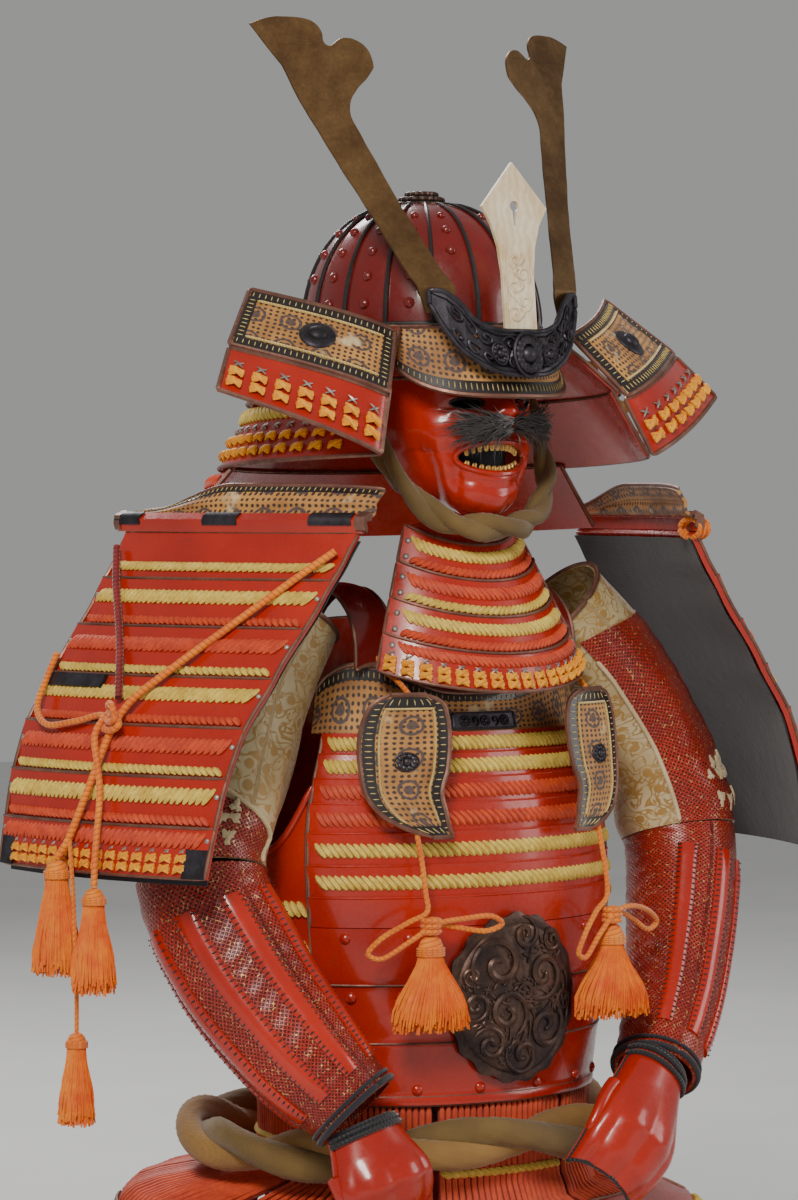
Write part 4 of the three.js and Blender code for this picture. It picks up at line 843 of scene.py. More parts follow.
def neck_surface(lame):
    def at(u, v):
        angle = np.radians(180 + mix(-lame["half"], lame["half"], u))
        a, b, y, z = (mix(t, f, v) for t, f in zip(lame["top"], lame["bottom"]))
        py = y - b * np.cos(angle)
        sink = NECK_TILT * (py + 14) * clamp01(v * 2 + (0 if lame is NECK[0] else 1))
        return points(a * np.sin(angle), py, z - sink)

    return Surface(at, lambda p: p * np.array([1, 1, 0]) + np.array([0, 14, 60]))


def neck_guard():
    for lame in NECK:
        surface = neck_surface(lame)
        wide = surface.size()[0]
        made = [wall(surface, 110, 10)] + border(surface, 0.0, 2.2, 0.0, 110, 1)
        if lame is NECK[0]:
            made.append(lacing(surface, 0.62, 17, material=2))
            made.append(lacing(surface, 0.85, 15, material=3, lean=-0.8))
        else:
            made.append(lacing(surface, 0.25, 18, material=2 if lame is NECK[1] else 3))
            made += knotted_foot(surface, (0.46, 0.63, 0.83), int(wide / 21), amber=4, silver=5, height=0.3)
        look(lame["node"], made, [RED, TRIM, YELLOW, CORAL, AMBER, SILVER])


# Turn-backs
TURN_BACKS = [
    {"node": "turnback_upper", "bow": 14,
     "corners": ((100.5, -94.5, 212), (137, -136, 155), (206, -12, 251), (257, -56, 199))},
    {"node": "turnback_lower", "bow": 15,
     "corners": ((136, -133, 152), (155.5, -151, 99.5), (258, -58, 195.5), (287, -84, 157))},
]


def turn_back_surface(back, side):
    fold_top, fold_bottom, free_top, free_bottom = (np.array([side * x, y, z]) for x, y, z in back["corners"])

    def at(u, v):
        u, v = np.broadcast_arrays(np.asarray(u, float), v)
        w = v[..., None]
        fold = fold_top + (fold_bottom - fold_top) * w
        free = free_top + (free_bottom - free_top) * w
        arch = (np.sin(math.pi * clamp01(u) ** 0.7) * back["bow"])[..., None]
        return fold + (free - fold) * u[..., None] + arch * np.array([side * 0.35, -0.75, 0.2])

    return facing(at, side * 0.4, -1, 0.5)


def turn_backs():
    for side, suffix in SIDES:
        for back in TURN_BACKS:
            surface = turn_back_surface(back, side)
            made = [wall(surface, 48, 16)] + border(surface, 0.0, 2.3, 0.0, 50, 1)
            if back is TURN_BACKS[0]:
                for strip in ((0.02, 0.98, 0.03, 0.15), (0.02, 0.98, 0.85, 0.97), (0.015, 0.075, 0.15, 0.85),
                              (0.925, 0.985, 0.15, 0.85)):
                    made += leather_edge(part_of(surface, *strip), 2, 3)
                for v in (0.18, 0.82):
                    made.append(bead(surface, (0.08, 0.92), (v, v), 1.0, 50, 1.3, 6, 3))
                middle = surface.out([0.5], [0.5], 0.3)
                outwards = surface.normal(np.array([0.5]), np.array([0.5]))
                made.append(domes(middle, outwards, 17, 4, 24, 5, 4))
                made.append(domes(middle + outwards * 3, outwards, 9, 5, 20, 5, 4))
                finish = [LEATHER_PRINT, TRIM, BLACK_LACQUER, CREAM, IRON]
                look(back["node"] + suffix, made, finish)
            else:
                made += knotted_foot(surface, (0.34, 0.54, 0.77), 7, 0.08, 0.92, 2, 3, 0.4, 1.12)
                finish = [RED, TRIM, AMBER, SILVER]
                look(back["node"] + suffix, made, finish)


# Crest holder: its plate stays as built, with rosettes and scrolls laid on it
HOLDER = {"half": 83, "front_y": -160, "sweep": 0.0038}
HOLDER_OUTLINE = [[0, 172, 212], [26, 174, 213], [46, 183, 221], [61, 195, 240], [72, 212, 248],
                  [83, 236, 249]]


def holder_at(u, v):
    x = mix(-HOLDER["half"], HOLDER["half"], u)
    low, high = table(HOLDER_OUTLINE, np.abs(x))
    z = mix(low, high, v)
    return points(x, HOLDER["front_y"] + HOLDER["sweep"] * x * x + (z - 174) * 0.16, z)


holder_surface = facing(holder_at, 0, -1, 0)


def scroll(surface, u0, v0, reach_u, reach_v, winds, start, height, radius, material=0, hand=1):
    """A spiral tendril on a surface, from its eye outwards."""
    t = np.linspace(0.08, 1, 34)
    angle = start + hand * winds * 2 * math.pi * t
    u = u0 + reach_u * t * np.cos(angle)
    v = v0 + reach_v * t * np.sin(angle)
    thick = radius * (0.6 + 0.6 * np.sin(math.pi * t))
    return tubes(surface.out(u, v, height), thick[None], 6, material)


def rosette(surface, u, v, radius, material, petals=12, height=2.0):
    """A small flower: a domed middle in a ring of petals."""
    wide, tall = surface.size()
    turn = np.arange(petals) / petals * 2 * math.pi
    uu, vv = u + radius * 0.68 * np.cos(turn) / wide, v + radius * 0.68 * np.sin(turn) / tall
    made = [studs(surface, uu, vv, height, radius * 0.24, radius * 0.2, 8, 3, material)]
    middle = np.array([u]), np.array([v])
    made.append(studs(surface, *middle, height, radius * 0.42, radius * 0.34, 16, 5, material))
    ring = full_circle(40)
    edge = surface.out(u + radius * np.cos(ring) / wide, v + radius * np.sin(ring) / tall, height)
    made.append(tubes(edge, radius * 0.1, 6, material))
    return made


def crest_holder():
    made = []
    for count, runs in ((90, (((0, 1), (0, 0)), ((0, 1), (1, 1)))),
                        (12, (((0, 0), (0, 1)), ((1, 1), (0, 1))))):
        made += [bead(holder_surface, us, vs, 1.5, count, 2.4, 8) for us, vs in runs]
    made += rosette(holder_surface, 0.5, 0.44, 19, 0, 16, 6.5)
    for u in (0.335, 0.665):
        made += rosette(holder_surface, u, 0.42, 9.5, 0, 10, 5.0)
    for u, hand in ((0.41, 1), (0.59, -1), (0.27, -1), (0.73, 1), (0.19, 1), (0.81, -1), (0.12, -1),
                    (0.88, 1)):
        made.append(scroll(holder_surface, u, 0.72, 0.045, 0.17, 1.4, 0.4 * hand, 2.6, 1.25, 0, hand))
        made.append(scroll(holder_surface, u + 0.012, 0.26, 0.04, 0.16, 1.3, 2.6 * hand, 2.6, 1.2, 0, -hand))
    build("crest_holder_relief", made, [IRON])


def crest_relief():
    """Carved tendrils on the lower half of the crest blade, of a layout of their own."""
    def at(u, v):
        x, z = mix(-16, 16, u), mix(216, 292, v)
        return points(x, -153 + (z - 216) * math.tan(0.1), z)

    face = facing(at, 0, -1, 0)
    made = []
    for k, (u, v, hand) in enumerate(((0.32, 0.14, 1), (0.68, 0.3, -1), (0.34, 0.47, 1), (0.66, 0.63, -1),
                                      (0.42, 0.8, 1))):
        made.append(scroll(face, u, v, 0.26, 0.115, 1.5, 0.7 * k, 0.6, 1.1, 0, hand))
        leaf = span(14)
        u_leaf = u + hand * (0.28 * np.sin(leaf * 2.4))
        v_leaf = v + 0.17 * leaf - 0.06
        made.append(tubes(face.out(u_leaf, v_leaf, 0.6), (1.6 * np.sin(math.pi * leaf) + 0.3)[None], 6))
    for x in (0.03, 0.97):
        made.append(bead(face, (x, x), (0, 1), 0.4, 20, 0.9, 6))
    build("crest_blade_relief", made, [IVORY])


HORN = {"x": 72, "y": -121, "z": 252.5, "out_x": 0.95, "out_y": 0.31, "lean": 0.53, "growth": -0.00038,
        "thick": 2.4}
# columns: height, inner and outer edge
HORN_BLADE = [[-24, -10, 12], [-2.9, -16, 19], [20, -6, 28], [49, 4, 38], [80, 15, 49], [110, 24, 61],
              [140, 33.5, 72], [163, 39.5, 81], [175, 36, 85.5], [187, 26.4, 89], [197, 15, 91.5],
              [207, 6.6, 94.5]]
HORN_TOP = [(6.6, 207), (6.3, 214), (8.5, 224), (14, 230.5), (24, 235), (32, 234.6), (38, 231), (43, 227.5),
            (47, 227), (50.5, 231), (50, 238), (52, 244.5), (57.5, 250), (66, 252.8), (78, 253.8),
            (92, 253.6), (106, 250.5), (118, 246)]


def horn_outline():
    """Up the inner edge, over the forked tip and down the outer edge."""
    heights = np.linspace(-24, 207, 60)
    inner, outer = table(HORN_BLADE, heights)
    tip = Route([(a, 0, h) for a, h in HORN_TOP]).evenly(60)[:, [0, 2]]
    outer_tip = np.array([(112, 236), (104, 222)])
    return np.vstack([np.stack([inner, heights], -1), tip, outer_tip, np.stack([outer, heights], -1)[::-1]])


def horns():
    for side, suffix in SIDES:
        def lay(across, up, out):
            back = HORN["lean"] * np.maximum(up, 0) + HORN["growth"] * up * up
            x = side * (HORN["x"] + HORN["out_x"] * across)
            return points(x, HORN["y"] + HORN["out_y"] * across + back - out, HORN["z"] + up)

        outline = horn_outline()
        blade = [strip_plate(outline, lay, HORN["thick"], -24, 227, 150, 0, -1),
                 strip_plate(outline, lay, HORN["thick"], 227, 235, 12, 0, 1),
                 strip_plate(outline, lay, HORN["thick"], 227, 253.7, 36, -2, -1)]
        look("horn" + suffix, blade, [BRONZE])


def strip_plate(outline, lay, thickness, low, high, rows, first, last, columns=7):
    """A thin plate on a bent surface, filled in rows between two crossings of its outline at each height."""
    heights = np.linspace(low + 0.05, high - 0.05, rows)
    a, b = outline, np.roll(outline, -1, axis=0)
    spans = []
    for h in heights:
        crosses = (a[:, 1] - h) * (b[:, 1] - h) < 0
        t = (h - a[crosses, 1]) / (b[crosses, 1] - a[crosses, 1])
        xs = np.sort(a[crosses, 0] + t * (b[crosses, 0] - a[crosses, 0]))
        spans.append((xs[first], xs[last]))
    spans = np.array(spans)
    across = mix(spans[:, :1], spans[:, 1:], span(columns)[None])
    up = heights[:, None] + 0 * across
    return two_sided(lay(across, up, thickness), lay(across, up, 0.0), np.stack([across, up], -1) * MM)


# Face guard
FACE_OUTLINE = [[40, 34, 66], [46, 46, 84], [60, 58, 98], [84, 68, 104], [108, 76, 102], [132, 80, 104],
                [158, 82, 106], [172, 82, 104]]
FACE = {"centre_y": -14, "half": 84, "low": 42, "high": 170}
# openings: x, z, half width, half height
MOUTH = (0, 97, 37, 13.5)
EYES = {"right": (-31, 147, 13, 4.2), "left": (31, 147, 13, 4.2)}
# columns: angle, share of height, half width in degrees, half height in shares, height
FACE_FORMS = [
    (0, 0.74, 15, 0.13, 20), (0, 0.9, 9, 0.16, 10), (-13, 0.7, 8, 0.08, 7), (13, 0.7, 8, 0.08, 7),
    (-42, 0.62, 22, 0.16, 7), (42, 0.62, 22, 0.16, 7), (0, 0.12, 30, 0.17, 9), (0, 0.56, 38, 0.07, 5),
    (-40, 0.36, 7, 0.26, 5), (40, 0.36, 7, 0.26, 5),
]
# creases and swells too fine for the solid
FACE_FINE = [(-27, 0.66, 4, 0.12, -2.2), (27, 0.66, 4, 0.12, -2.2), (-52, 0.45, 4, 0.2, -1.8),
             (52, 0.45, 4, 0.2, -1.8), (-24, 0.86, 13, 0.035, 2.6), (24, 0.86, 13, 0.035, 2.6),
             (-24, 0.77, 12, 0.03, 2.0), (24, 0.77, 12, 0.03, 2.0), (0, 0.29, 33, 0.045, 4.5),
             (-34, 0.78, 5, 0.03, -1.2), (34, 0.78, 5, 0.03, -1.2), (0, 0.205, 20, 0.03, -2.4),
             (-62, 0.7, 5, 0.25, 1.6), (62, 0.7, 5, 0.25, 1.6), (-33, 0.2, 4, 0.14, -1.6),
             (33, 0.2, 4, 0.14, -1.6), (-30, 0.1, 17, 0.14, 6), (30, 0.1, 17, 0.14, 6),
             (0, 0.03, 42, 0.04, 2.5)]


def face_at(u, v):
    angle = mix(-FACE["half"], FACE["half"], u)
    z0 = mix(FACE["low"], FACE["high"], v)
    a, b = table(FACE_OUTLINE, z0)
    z = z0 + clamp01(0.5 - v) * 0.5 * np.abs(angle)
    turn = np.radians(angle)
    return points(a * np.sin(turn), FACE["centre_y"] - b * np.cos(turn), z)


face_surface = Surface(face_at)


def face_height(u, v):
    angle = mix(-FACE["half"], FACE["half"], u)
    total = 0 * u
    for at, share, half_angle, half_share, height in FACE_FORMS + FACE_FINE:
        total = total + height * bump(angle, at, half_angle) * bump(v, share, half_share)
    return total


def oval_tool(name, x, z, half_width, half_height):
    """A solid oval bar that cuts an opening through the front of the mask."""
    around = circle(40)
    outline = np.stack([x + half_width * np.cos(around), z + half_height * np.sin(around)], -1)

    def lay(a, b, out):
        return points(a, -70 - out, b)

    return build(name, [plate(outline, lay, 90)], [LIP_RED], flat=True)


def face_guard():
    skin = wall(face_surface, 104, 78, face_height)
    mask = look("face_guard", [skin], [RED, LIP_RED, GOLD, TRIM])
    tools = [oval_tool("cut_mouth", *MOUTH)]
    tools += [oval_tool("cut_eye_" + side, *eye) for side, eye in EYES.items()]
    for tool in tools:
        cutter = mask.modifiers.new(tool.name, "BOOLEAN")
        cutter.operation = "DIFFERENCE"
        cutter.object = tool
        cutter.solver = "EXACT"
    bpy.context.view_layer.update()
    cut = bpy.data.meshes.new_from_object(mask.evaluated_get(bpy.context.evaluated_depsgraph_get()))
    mask.modifiers.clear()
    mask.data = cut
    sharpen(cut, 50)
    for tool in tools:
        bpy.data.objects.remove(tool)
    face_details()


def face_details():
    """Lips, teeth, eyelids and the dark rim that follow the mask's front."""
    made = []
    around = full_circle(60)

    def on_face(x, z, out):
        """The point of the mask's front at that width and height."""
        v = (z - FACE["low"]) / (FACE["high"] - FACE["low"])
        for _ in range(3):
            a, b = table(FACE_OUTLINE, mix(FACE["low"], FACE["high"], v))
            angle = np.degrees(np.arcsin(np.clip(x / a, -1, 1)))
            v = (z - clamp01(0.5 - v) * 0.5 * np.abs(angle) - FACE["low"]) / (FACE["high"] - FACE["low"])
        u = angle / (2 * FACE["half"]) + 0.5
        return face_surface.out(u, v, face_height(u, v) + out)

    def ring_round(opening, wider, higher, out):
        x, z, half_width, half_height = opening
        across, up = (half_width + wider) * np.cos(around), (half_height + higher) * np.sin(around)
        return on_face(x + across, z + up, out)

    made.append(tubes(ring_round(MOUTH, 1.5, 1.5, 0.2), 3.0, 8, 0))
    made.append(tubes(ring_round(MOUTH, -0.2, -0.3, -0.3), 1.1, 6, 2))
    for eye in EYES.values():
        made.append(tubes(ring_round(eye, 0.5, 0.6, 0.3), 1.5, 6, 1))
    for hand, count, tall in ((1, 11, 6.5), (-1, 10, 4.5)):
        x = np.linspace(-29, 29, count)
        rim = MOUTH[1] + hand * 12.6 * np.sqrt(1 - (x / MOUTH[2]) ** 2)
        base = on_face(x, rim, -3.5)
        drop = span(5)[:, None] * np.array([0, 0, -hand * tall])
        teeth = base[:, None] + drop[None]
        made.append(tubes(teeth, [3.2, 3.2, 3.1, 2.7, 1.7], 10, 2, 0.45, [0.0, 1.0, 0.0], False))
    # A black cloth sheet behind the mask's openings: painted shade seen through the eyes and mouth.
    made.append(wall(part_of(face_surface, 0.2, 0.8, 0.2, 0.92), 16, 14, -16.0, 18, material=3))
    made += border(face_surface, 0.0, 2.2, 0.0, 80, 4)
    finish = [RED, BLACK_LACQUER, GOLD, BLACK_CLOTH, TRIM]
    build("face_guard_details", made, finish)


def moustache():
    """Coarse black hairs that sweep sideways from under the nose."""
    made = []
    for side in (-1, 1):
        count = 420
        root_x = side * rng.uniform(0, 36, count)
        root_z = 127 + rng.uniform(-7, 7, count)
        length = rng.uniform(12, 37, count)
        t = span(6)
        lean = (rng.normal(-0.12, 0.3, count) + 0.02 * (root_z - 127))[:, None]
        bend = rng.normal(-0.1, 0.3, count)[:, None] * t[None]
        x = root_x[:, None] + side * length[:, None] * t[None] * np.cos(lean + bend)
        z = root_z[:, None] + length[:, None] * t[None] * np.sin(lean + bend)
        depth = 121 - 0.0065 * x**2 + rng.uniform(1, 9, count)[:, None]
        y = FACE["centre_y"] - depth - rng.uniform(1, 5, (count, 1)) * np.sin(math.pi * t[None] * 0.7)
        made.append(tubes(points(x, y, z), np.linspace(0.95, 0.16, 6)[None], 3))
    look("moustache", made, [HAIR])


# Chin band
CHIN_ROUTE = [
    (-93, -12, 214.8), (-97, -26, 160), (-95, -54, 112), (-80, -84, 68), (-49, -101, 38), (-14, -112, 32),
    (26, -110, 33), (54, -97, 40), (82, -82, 70), (95, -54, 112), (97, -26, 160), (93, -12, 214.8),
]


def wound(route, count, sides, radius, lobes, depth, twists, wrinkle=0.0, squash=1.0, closed=False,
          material=0, offset=0.0, start=0.0):
    """A strand of twisted cloth with wrinkles that wind with it. offset is how far it lies off its route,
    which it winds round."""
    t = np.linspace(0, 1, count, endpoint=not closed)
    centre, tangent = route.at(t), route.tangent(t)
    sideways = unit(np.cross(tangent, np.array([0, 0, 1.0])))
    upwards = np.cross(sideways, tangent)
    around = circle(sides)
    winding = twists * t * 2 * math.pi
    phase = around[None] + winding[:, None]
    ripples = np.sin(9 * phase + 3 * np.sin(t * 12.566)[:, None])
    ripples = ripples + 0.6 * np.sin(15 * phase + 69.1 * t[:, None])
    r = radius(t)[:, None] * (1 + depth * np.cos(lobes * phase) + wrinkle * ripples)
    centre = centre + sideways * (offset * squash * np.cos(start - winding))[:, None]
    centre = centre + upwards * (offset * np.sin(start - winding))[:, None]
    verts = (centre[:, None] + sideways[:, None] * (r * np.cos(around) * squash)[..., None]
             + upwards[:, None] * (r * np.sin(around))[..., None])
    faces = capped(1, count, sides)
    if closed:
        first, last = np.arange(sides), faces[2][0]
        faces[1:] = [np.stack([last, np.roll(last, -1), np.roll(first, -1), first], -1)]
    return part(verts, faces, pairs(np.linspace(0, 0.15, sides), t[:, None]), material)


def chin_band():
    strands = [wound(Route(CHIN_ROUTE), 130, 24, lambda t: 6.8 + 1.9 * bump(t, 0.5, 0.3), 2, 0.06, 4, 0.05,
                     0.9, offset=4.6, start=start) for start in (0.6, 0.6 + math.pi)]
    band = look("chin_band", strands, [SASH_CLOTH])


# Throat guard
# half widths in degrees, the share of the height that the tongue takes, and the height of top and bottom
THROAT = {"tongue_half": 25, "half": 57, "tongue": 0.18, "top": 42.4, "bottom": -119, "pitch": 5.4}


def throat_at(u, v):
    half = mix(THROAT["tongue_half"], THROAT["half"], clamp01(v / THROAT["tongue"]))
    angle = mix(-half, half, u)
    radius = 70 + 70 * clamp01(v * 1.25 - 0.17 - 0.08 * v * v)
    height = mix(THROAT["top"], THROAT["bottom"], v) + 20 * (angle / THROAT["half"]) ** 2
    turn = np.radians(angle)
    return points(radius * np.sin(turn), -14 - radius * np.cos(turn), height)


throat_surface = Surface(throat_at)


def throat_rows(upper, lower):
    """Two rows of lacing: share of the lame's height, band, lean, material and height."""
    return False, ((0.34, 14.5, 0.9, upper, 3.0), (0.76, 10.5, -0.8, lower, 1.8))


THROAT_ROWS = (throat_rows(2, 3), throat_rows(3, 2), throat_rows(2, 3), (True, ((0.24, 12, 0.9, 3, 3.0),)))


def throat_guard():
    made = [wall(part_of(throat_surface, 0, 1, 0, 0.2), 40, 6, 0.6, 2)]
    start = THROAT["tongue"]
    step = (1 - start) / len(THROAT_ROWS)
    for i, (foot, rows) in enumerate(THROAT_ROWS):
        low, high = start + step * i, start + step * (i + 1) + (0 if foot else 0.012)
        lame = part_of(throat_surface, 0, 1, low, high)
        made += tilted_lame(lame, 4.2, 0.75, 40, 5, 2, (1.6, 1.6), 2.6, 10)
        for v, band, lean, material, height in rows:
            made.append(lacing(lame, v, band, THROAT["pitch"], lean, None, 0.07, 0.93, material, height))
        if foot:
            made.append(row_ends(lame, rows[0][0], 0.04, 3.4))
            made += knotted_foot(lame, (0.46, 0.63, 0.84), 16, 0.04, 0.96, 4, 5, 1.6, 0.92)
        else:
            made += [row_ends(lame, 0.34, 0.04, 3.4), row_ends(lame, 0.74, 0.04, 2.2)]
    look("throat_guard", made, [RED, TRIM, YELLOW, CORAL, AMBER, SILVER])


# Cuirass
TORSO = [[-50, 148, 88], [-100, 154, 92], [-130, 158, 95], [-168, 166, 104], [-200, 178, 114],
         [-240, 188, 123], [-330, 190, 136], [-420, 180, 140], [-460, 173, 137], [-500, 168, 133]]
FRONT_HALF, BACK_HALF = 64, 116
LACED_TOP, LACED_BOTTOM, RIM_Z = -158, -334, -498
CHEST_TOP = [[0, -122], [16, -120], [30, -108], [42, -96], [54, -95], [64, -104], [72, -122]]
BACK_TOP = [[112, -190], [122, -120], [136, -76], [150, -62], [180, -56]]


def torso_at(angle, z, out=0.0):
    a, b = table(TORSO, z)
    turn = np.radians(angle)
    back = 12 * np.maximum(0, -np.cos(turn)) * (np.abs(angle) > 90)
    return points((a + out) * np.sin(turn), -(b + back + out) * np.cos(turn), z)


def torso_panel(start, end, top, bottom):
    def at(u, v):
        angle = mix(start, end, u)
        high = top(angle) if callable(top) else top
        return torso_at(angle, mix(high, bottom, v))

    return Surface(at)


def fine_rows(count):
    """Rows of a stepped wall: close together where one lame meets the next."""
    each = np.concatenate([[0.004], np.linspace(0.05, 0.95, 4), [0.996]])
    return ((np.arange(count)[:, None] + each) / count).ravel()


def chest_plate():
    surface = torso_panel(-70, 70, lambda angle: table(CHEST_TOP, np.abs(angle))[0], LACED_TOP + 0.2)
    made = [wall(surface, 110, 14)]
    made.append(bead(surface, (0, 1), (0, 0), 0.3, 120, 2.2, 8, 1))
    made += leather_edge(part_of(surface, 0.01, 0.99, 0.06, 0.22), 2, 3)
    look("chest_plate", made, [LEATHER_PRINT, TRIM, BLACK_LACQUER, CREAM])


LAME_EDGES = (-158, -177, -199, -222, -248.5, -278, -307, -334)


def front_laced():
    surface = torso_panel(-FRONT_HALF, FRONT_HALF, LACED_TOP, LACED_BOTTOM)
    edges = (np.array(LAME_EDGES) - LACED_TOP) / (LACED_BOTTOM - LACED_TOP)

    def stepped(u, v):
        i = np.clip(np.searchsorted(edges, v, side="right") - 1, 0, len(edges) - 2)
        return 3.2 * (1 - 0.75 * (v - edges[i]) / (edges[i + 1] - edges[i]))

    rows = np.unique(np.concatenate([np.linspace(a + 1e-4, b - 1e-4, 6) for a, b in zip(edges, edges[1:])]))
    made = [shell(surface, span(56), rows, stepped)]
    for i, material in enumerate((2, 2, 3, 3, 2, 2)):
        middle = mix(edges[i], edges[i + 1], 0.52)
        made.append(lacing(surface, middle, 16, 6.4, 0.85, None, 0.03, 0.97, material, 1.2))
        made.append(bead(surface, (0, 1), (edges[i + 1], edges[i + 1]), 2.6, 70, 1.2, 6, 0))
    for u in (0.0, 1.0):
        made.append(bead(surface, (u, u), (0, 1), 1.0, 40, 1.8, 6, 1))
    look("cuirass_front_laced", made, [RED, TRIM, YELLOW, CORAL])


def rivets_at(angles, z, radius, out, material=0):
    angles = np.array(angles, float)
    zs = np.full(len(angles), float(z))
    centres = torso_at(angles, zs, out)
    outwards = torso_at(angles, zs, out + 5) - centres
    return domes(centres, outwards, radius, radius * 0.7, 14, 5, material)


def front_plates():
    surface = torso_panel(-FRONT_HALF, FRONT_HALF, LACED_BOTTOM - 0.6, RIM_Z)

    def stepped(u, v):
        return np.interp(v, [0, 0.31, 0.33, 0.64, 0.66, 0.95, 0.96, 1], [2, 2, 0.6, 0.6, 2, 2, 3.4, 3.4])

    rows = np.unique(np.concatenate([span(26), [0.31, 0.33, 0.64, 0.66, 0.95, 0.96]]))
    made = [shell(surface, span(60), rows, stepped)]
    for z, angles in ((-344, (-52, -32, -11, 11, 32, 52)), (-484, (-52, -32, -11, 11, 32, 52)),
                      (-398, (-52, -36, 36, 52)), (-430, (-54, 54))):
        made.append(rivets_at(angles, z, 5.4, 1.6, 0))
    for v in (0.32, 0.65, 0.955):
        made.append(bead(surface, (0, 1), (v, v), 1.6, 80, 1.1, 6, 1))
    made.append(bead(surface, (0, 1), (1, 1), 1.0, 80, 2.2, 8, 1))
    look("cuirass_front_plates", made, [RED, TRIM])


def side_steps(u, v):
    return np.interp(v, [0, 0.4, 0.42, 0.94, 0.95, 1], [0, 0, 2, 2, 3.4, 3.4])


def side_plates():
    middle, half = (FRONT_HALF + BACK_HALF) / 2, (BACK_HALF - FRONT_HALF) / 2 - 0.6
    for side, suffix in SIDES:
        def top(angle):
            return -268 + 62 * np.abs((np.abs(angle) - middle) / half) ** 3

        surface = torso_panel(side * (middle - half), side * (middle + half), top, RIM_Z)
        made = [wall(surface, 36, 60, side_steps)]
        made.append(bead(surface, (0, 1), (0, 0), 1.5, 40, 3.2, 10, 0))
        for u in (0.0, 1.0):
            made.append(bead(surface, (u, u), (0, 1), 0.8, 50, 1.5, 6, 1))
        for z, reach in ((-318, 0.92), (-352, 0.55)):
            ends = (side * (middle - half), side * (middle - half + 2 * half * reach))
            row = torso_panel(*ends, z + 9, z - 9)
            made.append(lacing(row, 0.5, 17, 6.6, 0.6 * side, material=2, height=1.4))
        made.append(bead(surface, (0, 1), (1, 1), 1.0, 40, 2.2, 8, 1))
        look("cuirass_side" + suffix, made, [RED, TRIM, YELLOW])


def cuirass_back():
    def top(angle):
        return table(BACK_TOP, np.where(angle > 180, 360 - angle, angle))[0]

    surface = torso_panel(BACK_HALF, 360 - BACK_HALF, top, RIM_Z)

    def height(u, v):
        lames = 3.0 * (1 - 0.75 * ((clamp01(v / 0.66) * 5) % 1.0))
        plain = np.where(v > 0.95, 3.4, 1.0)
        return np.where(v < 0.66, lames, plain)

    rows = np.concatenate([fine_rows(5) * 0.66, np.linspace(0.665, 0.94, 8), [0.95, 0.96, 0.98, 1.0]])
    made = [shell(surface, span(60), rows, height)]
    for i, material in enumerate((2, 3, 2, 3, 2)):
        made.append(lacing(surface, (i + 0.45) / 5 * 0.66, 17, 8.6, -0.85, material=material, height=1.0))
    for us, vs in (((0, 1), (0, 0)), ((0, 0), (0, 1)), ((1, 1), (0, 1)), ((0, 1), (1, 1))):
        made.append(bead(surface, us, vs, 1.0, 110, 2.0, 8, 1))
    for z in (-478, -372):
        made.append(rivets_at(range(132, 229, 16), z, 5.0, 1.4))
    look("cuirass_back", made, [RED, TRIM, YELLOW, CORAL])


STRAP_ROUTE = [(70, -82), (61, -56), (44, -36), (10, -21), (-28, -22), (-56, -42), (-66, -64), (-68, -93.4)]


def strap_surface(side):
    route = Route([(side * 104, y, z) for y, z in STRAP_ROUTE])

    def at(u, v):
        u, v = np.broadcast_arrays(np.asarray(u, float), v)
        flat = route.at(clamp01(v).ravel()).reshape(*v.shape, 3)
        slope = route.tangent(clamp01(v).ravel()).reshape(*v.shape, 3)
        flat = flat + slope * ((v - clamp01(v)) * 100)[..., None]
        return flat + points(side * mix(-22, 22, u), 0, -24 * (u - 0.5) ** 2)

    return Surface(at, lambda p: p * np.array([0, 1, 1]) + np.array([0, 0, 110]))


def straps():
    for side, suffix in SIDES:
        surface = strap_surface(side)
        made = [wall(surface, 16, 50)] + border(surface, 0.2, 1.9, 0.0, 50, 1)
        look("shoulder_strap" + suffix, made, [DEEP_RED, TRIM])


# Chest wings, with the ties they hang by
WING_OUTLINE = [[64, -16, 18], [58, -30, 30], [44, -37, 40], [20, -38, 46], [-4, -34, 46], [-26, -26, 43],
                [-46, -30, 30], [-58, -32, 10], [-66, -36, -14]]
WING = {"x": 102, "y": -130, "z": -184, "turn": math.radians(20), "bulge": 9}
WING_TIE = [(104, -70, -87), (104, -82, -99), (103, -103, -109), (102, -121.5, -122)]


def wing_surface(side):
    def at(u, v):
        height = mix(64, -66, v)
        inner, outer = table(WING_OUTLINE, height)
        across = mix(inner, outer, u)
        away = WING["bulge"] * (across / 46) ** 2 + 0.1 * height
        x = WING["x"] + 2 + across * math.cos(WING["turn"])
        return points(side * x, WING["y"] + across * math.sin(WING["turn"]) + away, WING["z"] + height)

    return facing(at, 0, -1, 0)


def chest_wings():
    for side, suffix in SIDES:
        surface = wing_surface(side)
        made = [wall(surface, 24, 40, 0.2)] + border(surface, 0.2, 2.3, 0.0, 60, 1)
        for strip in ((0.03, 0.15, 0.04, 0.96), (0.85, 0.97, 0.04, 0.96), (0.16, 0.84, 0.02, 0.09),
                      (0.16, 0.84, 0.92, 0.985)):
            made += leather_edge(part_of(surface, *strip), 2, 3, 6.5)
        for us, vs in (((0.19, 0.19), (0.1, 0.9)), ((0.81, 0.81), (0.1, 0.9)), ((0.19, 0.81), (0.1, 0.1))):
            made.append(bead(surface, us, vs, 1.0, 50, 1.1, 6, 3))
        made += rosette(surface, 0.52, 0.47, 9.5, 4, 10, 1.2)
        tie = Route([(side * x, y, z) for x, y, z in WING_TIE])
        made.append(tubes(tie.evenly(24), 2.5, 8, 5))
        finish = [LEATHER_PRINT, TRIM, BLACK_LACQUER, CREAM, IRON, ORANGE]
        look("chest_wing" + suffix, made, finish)


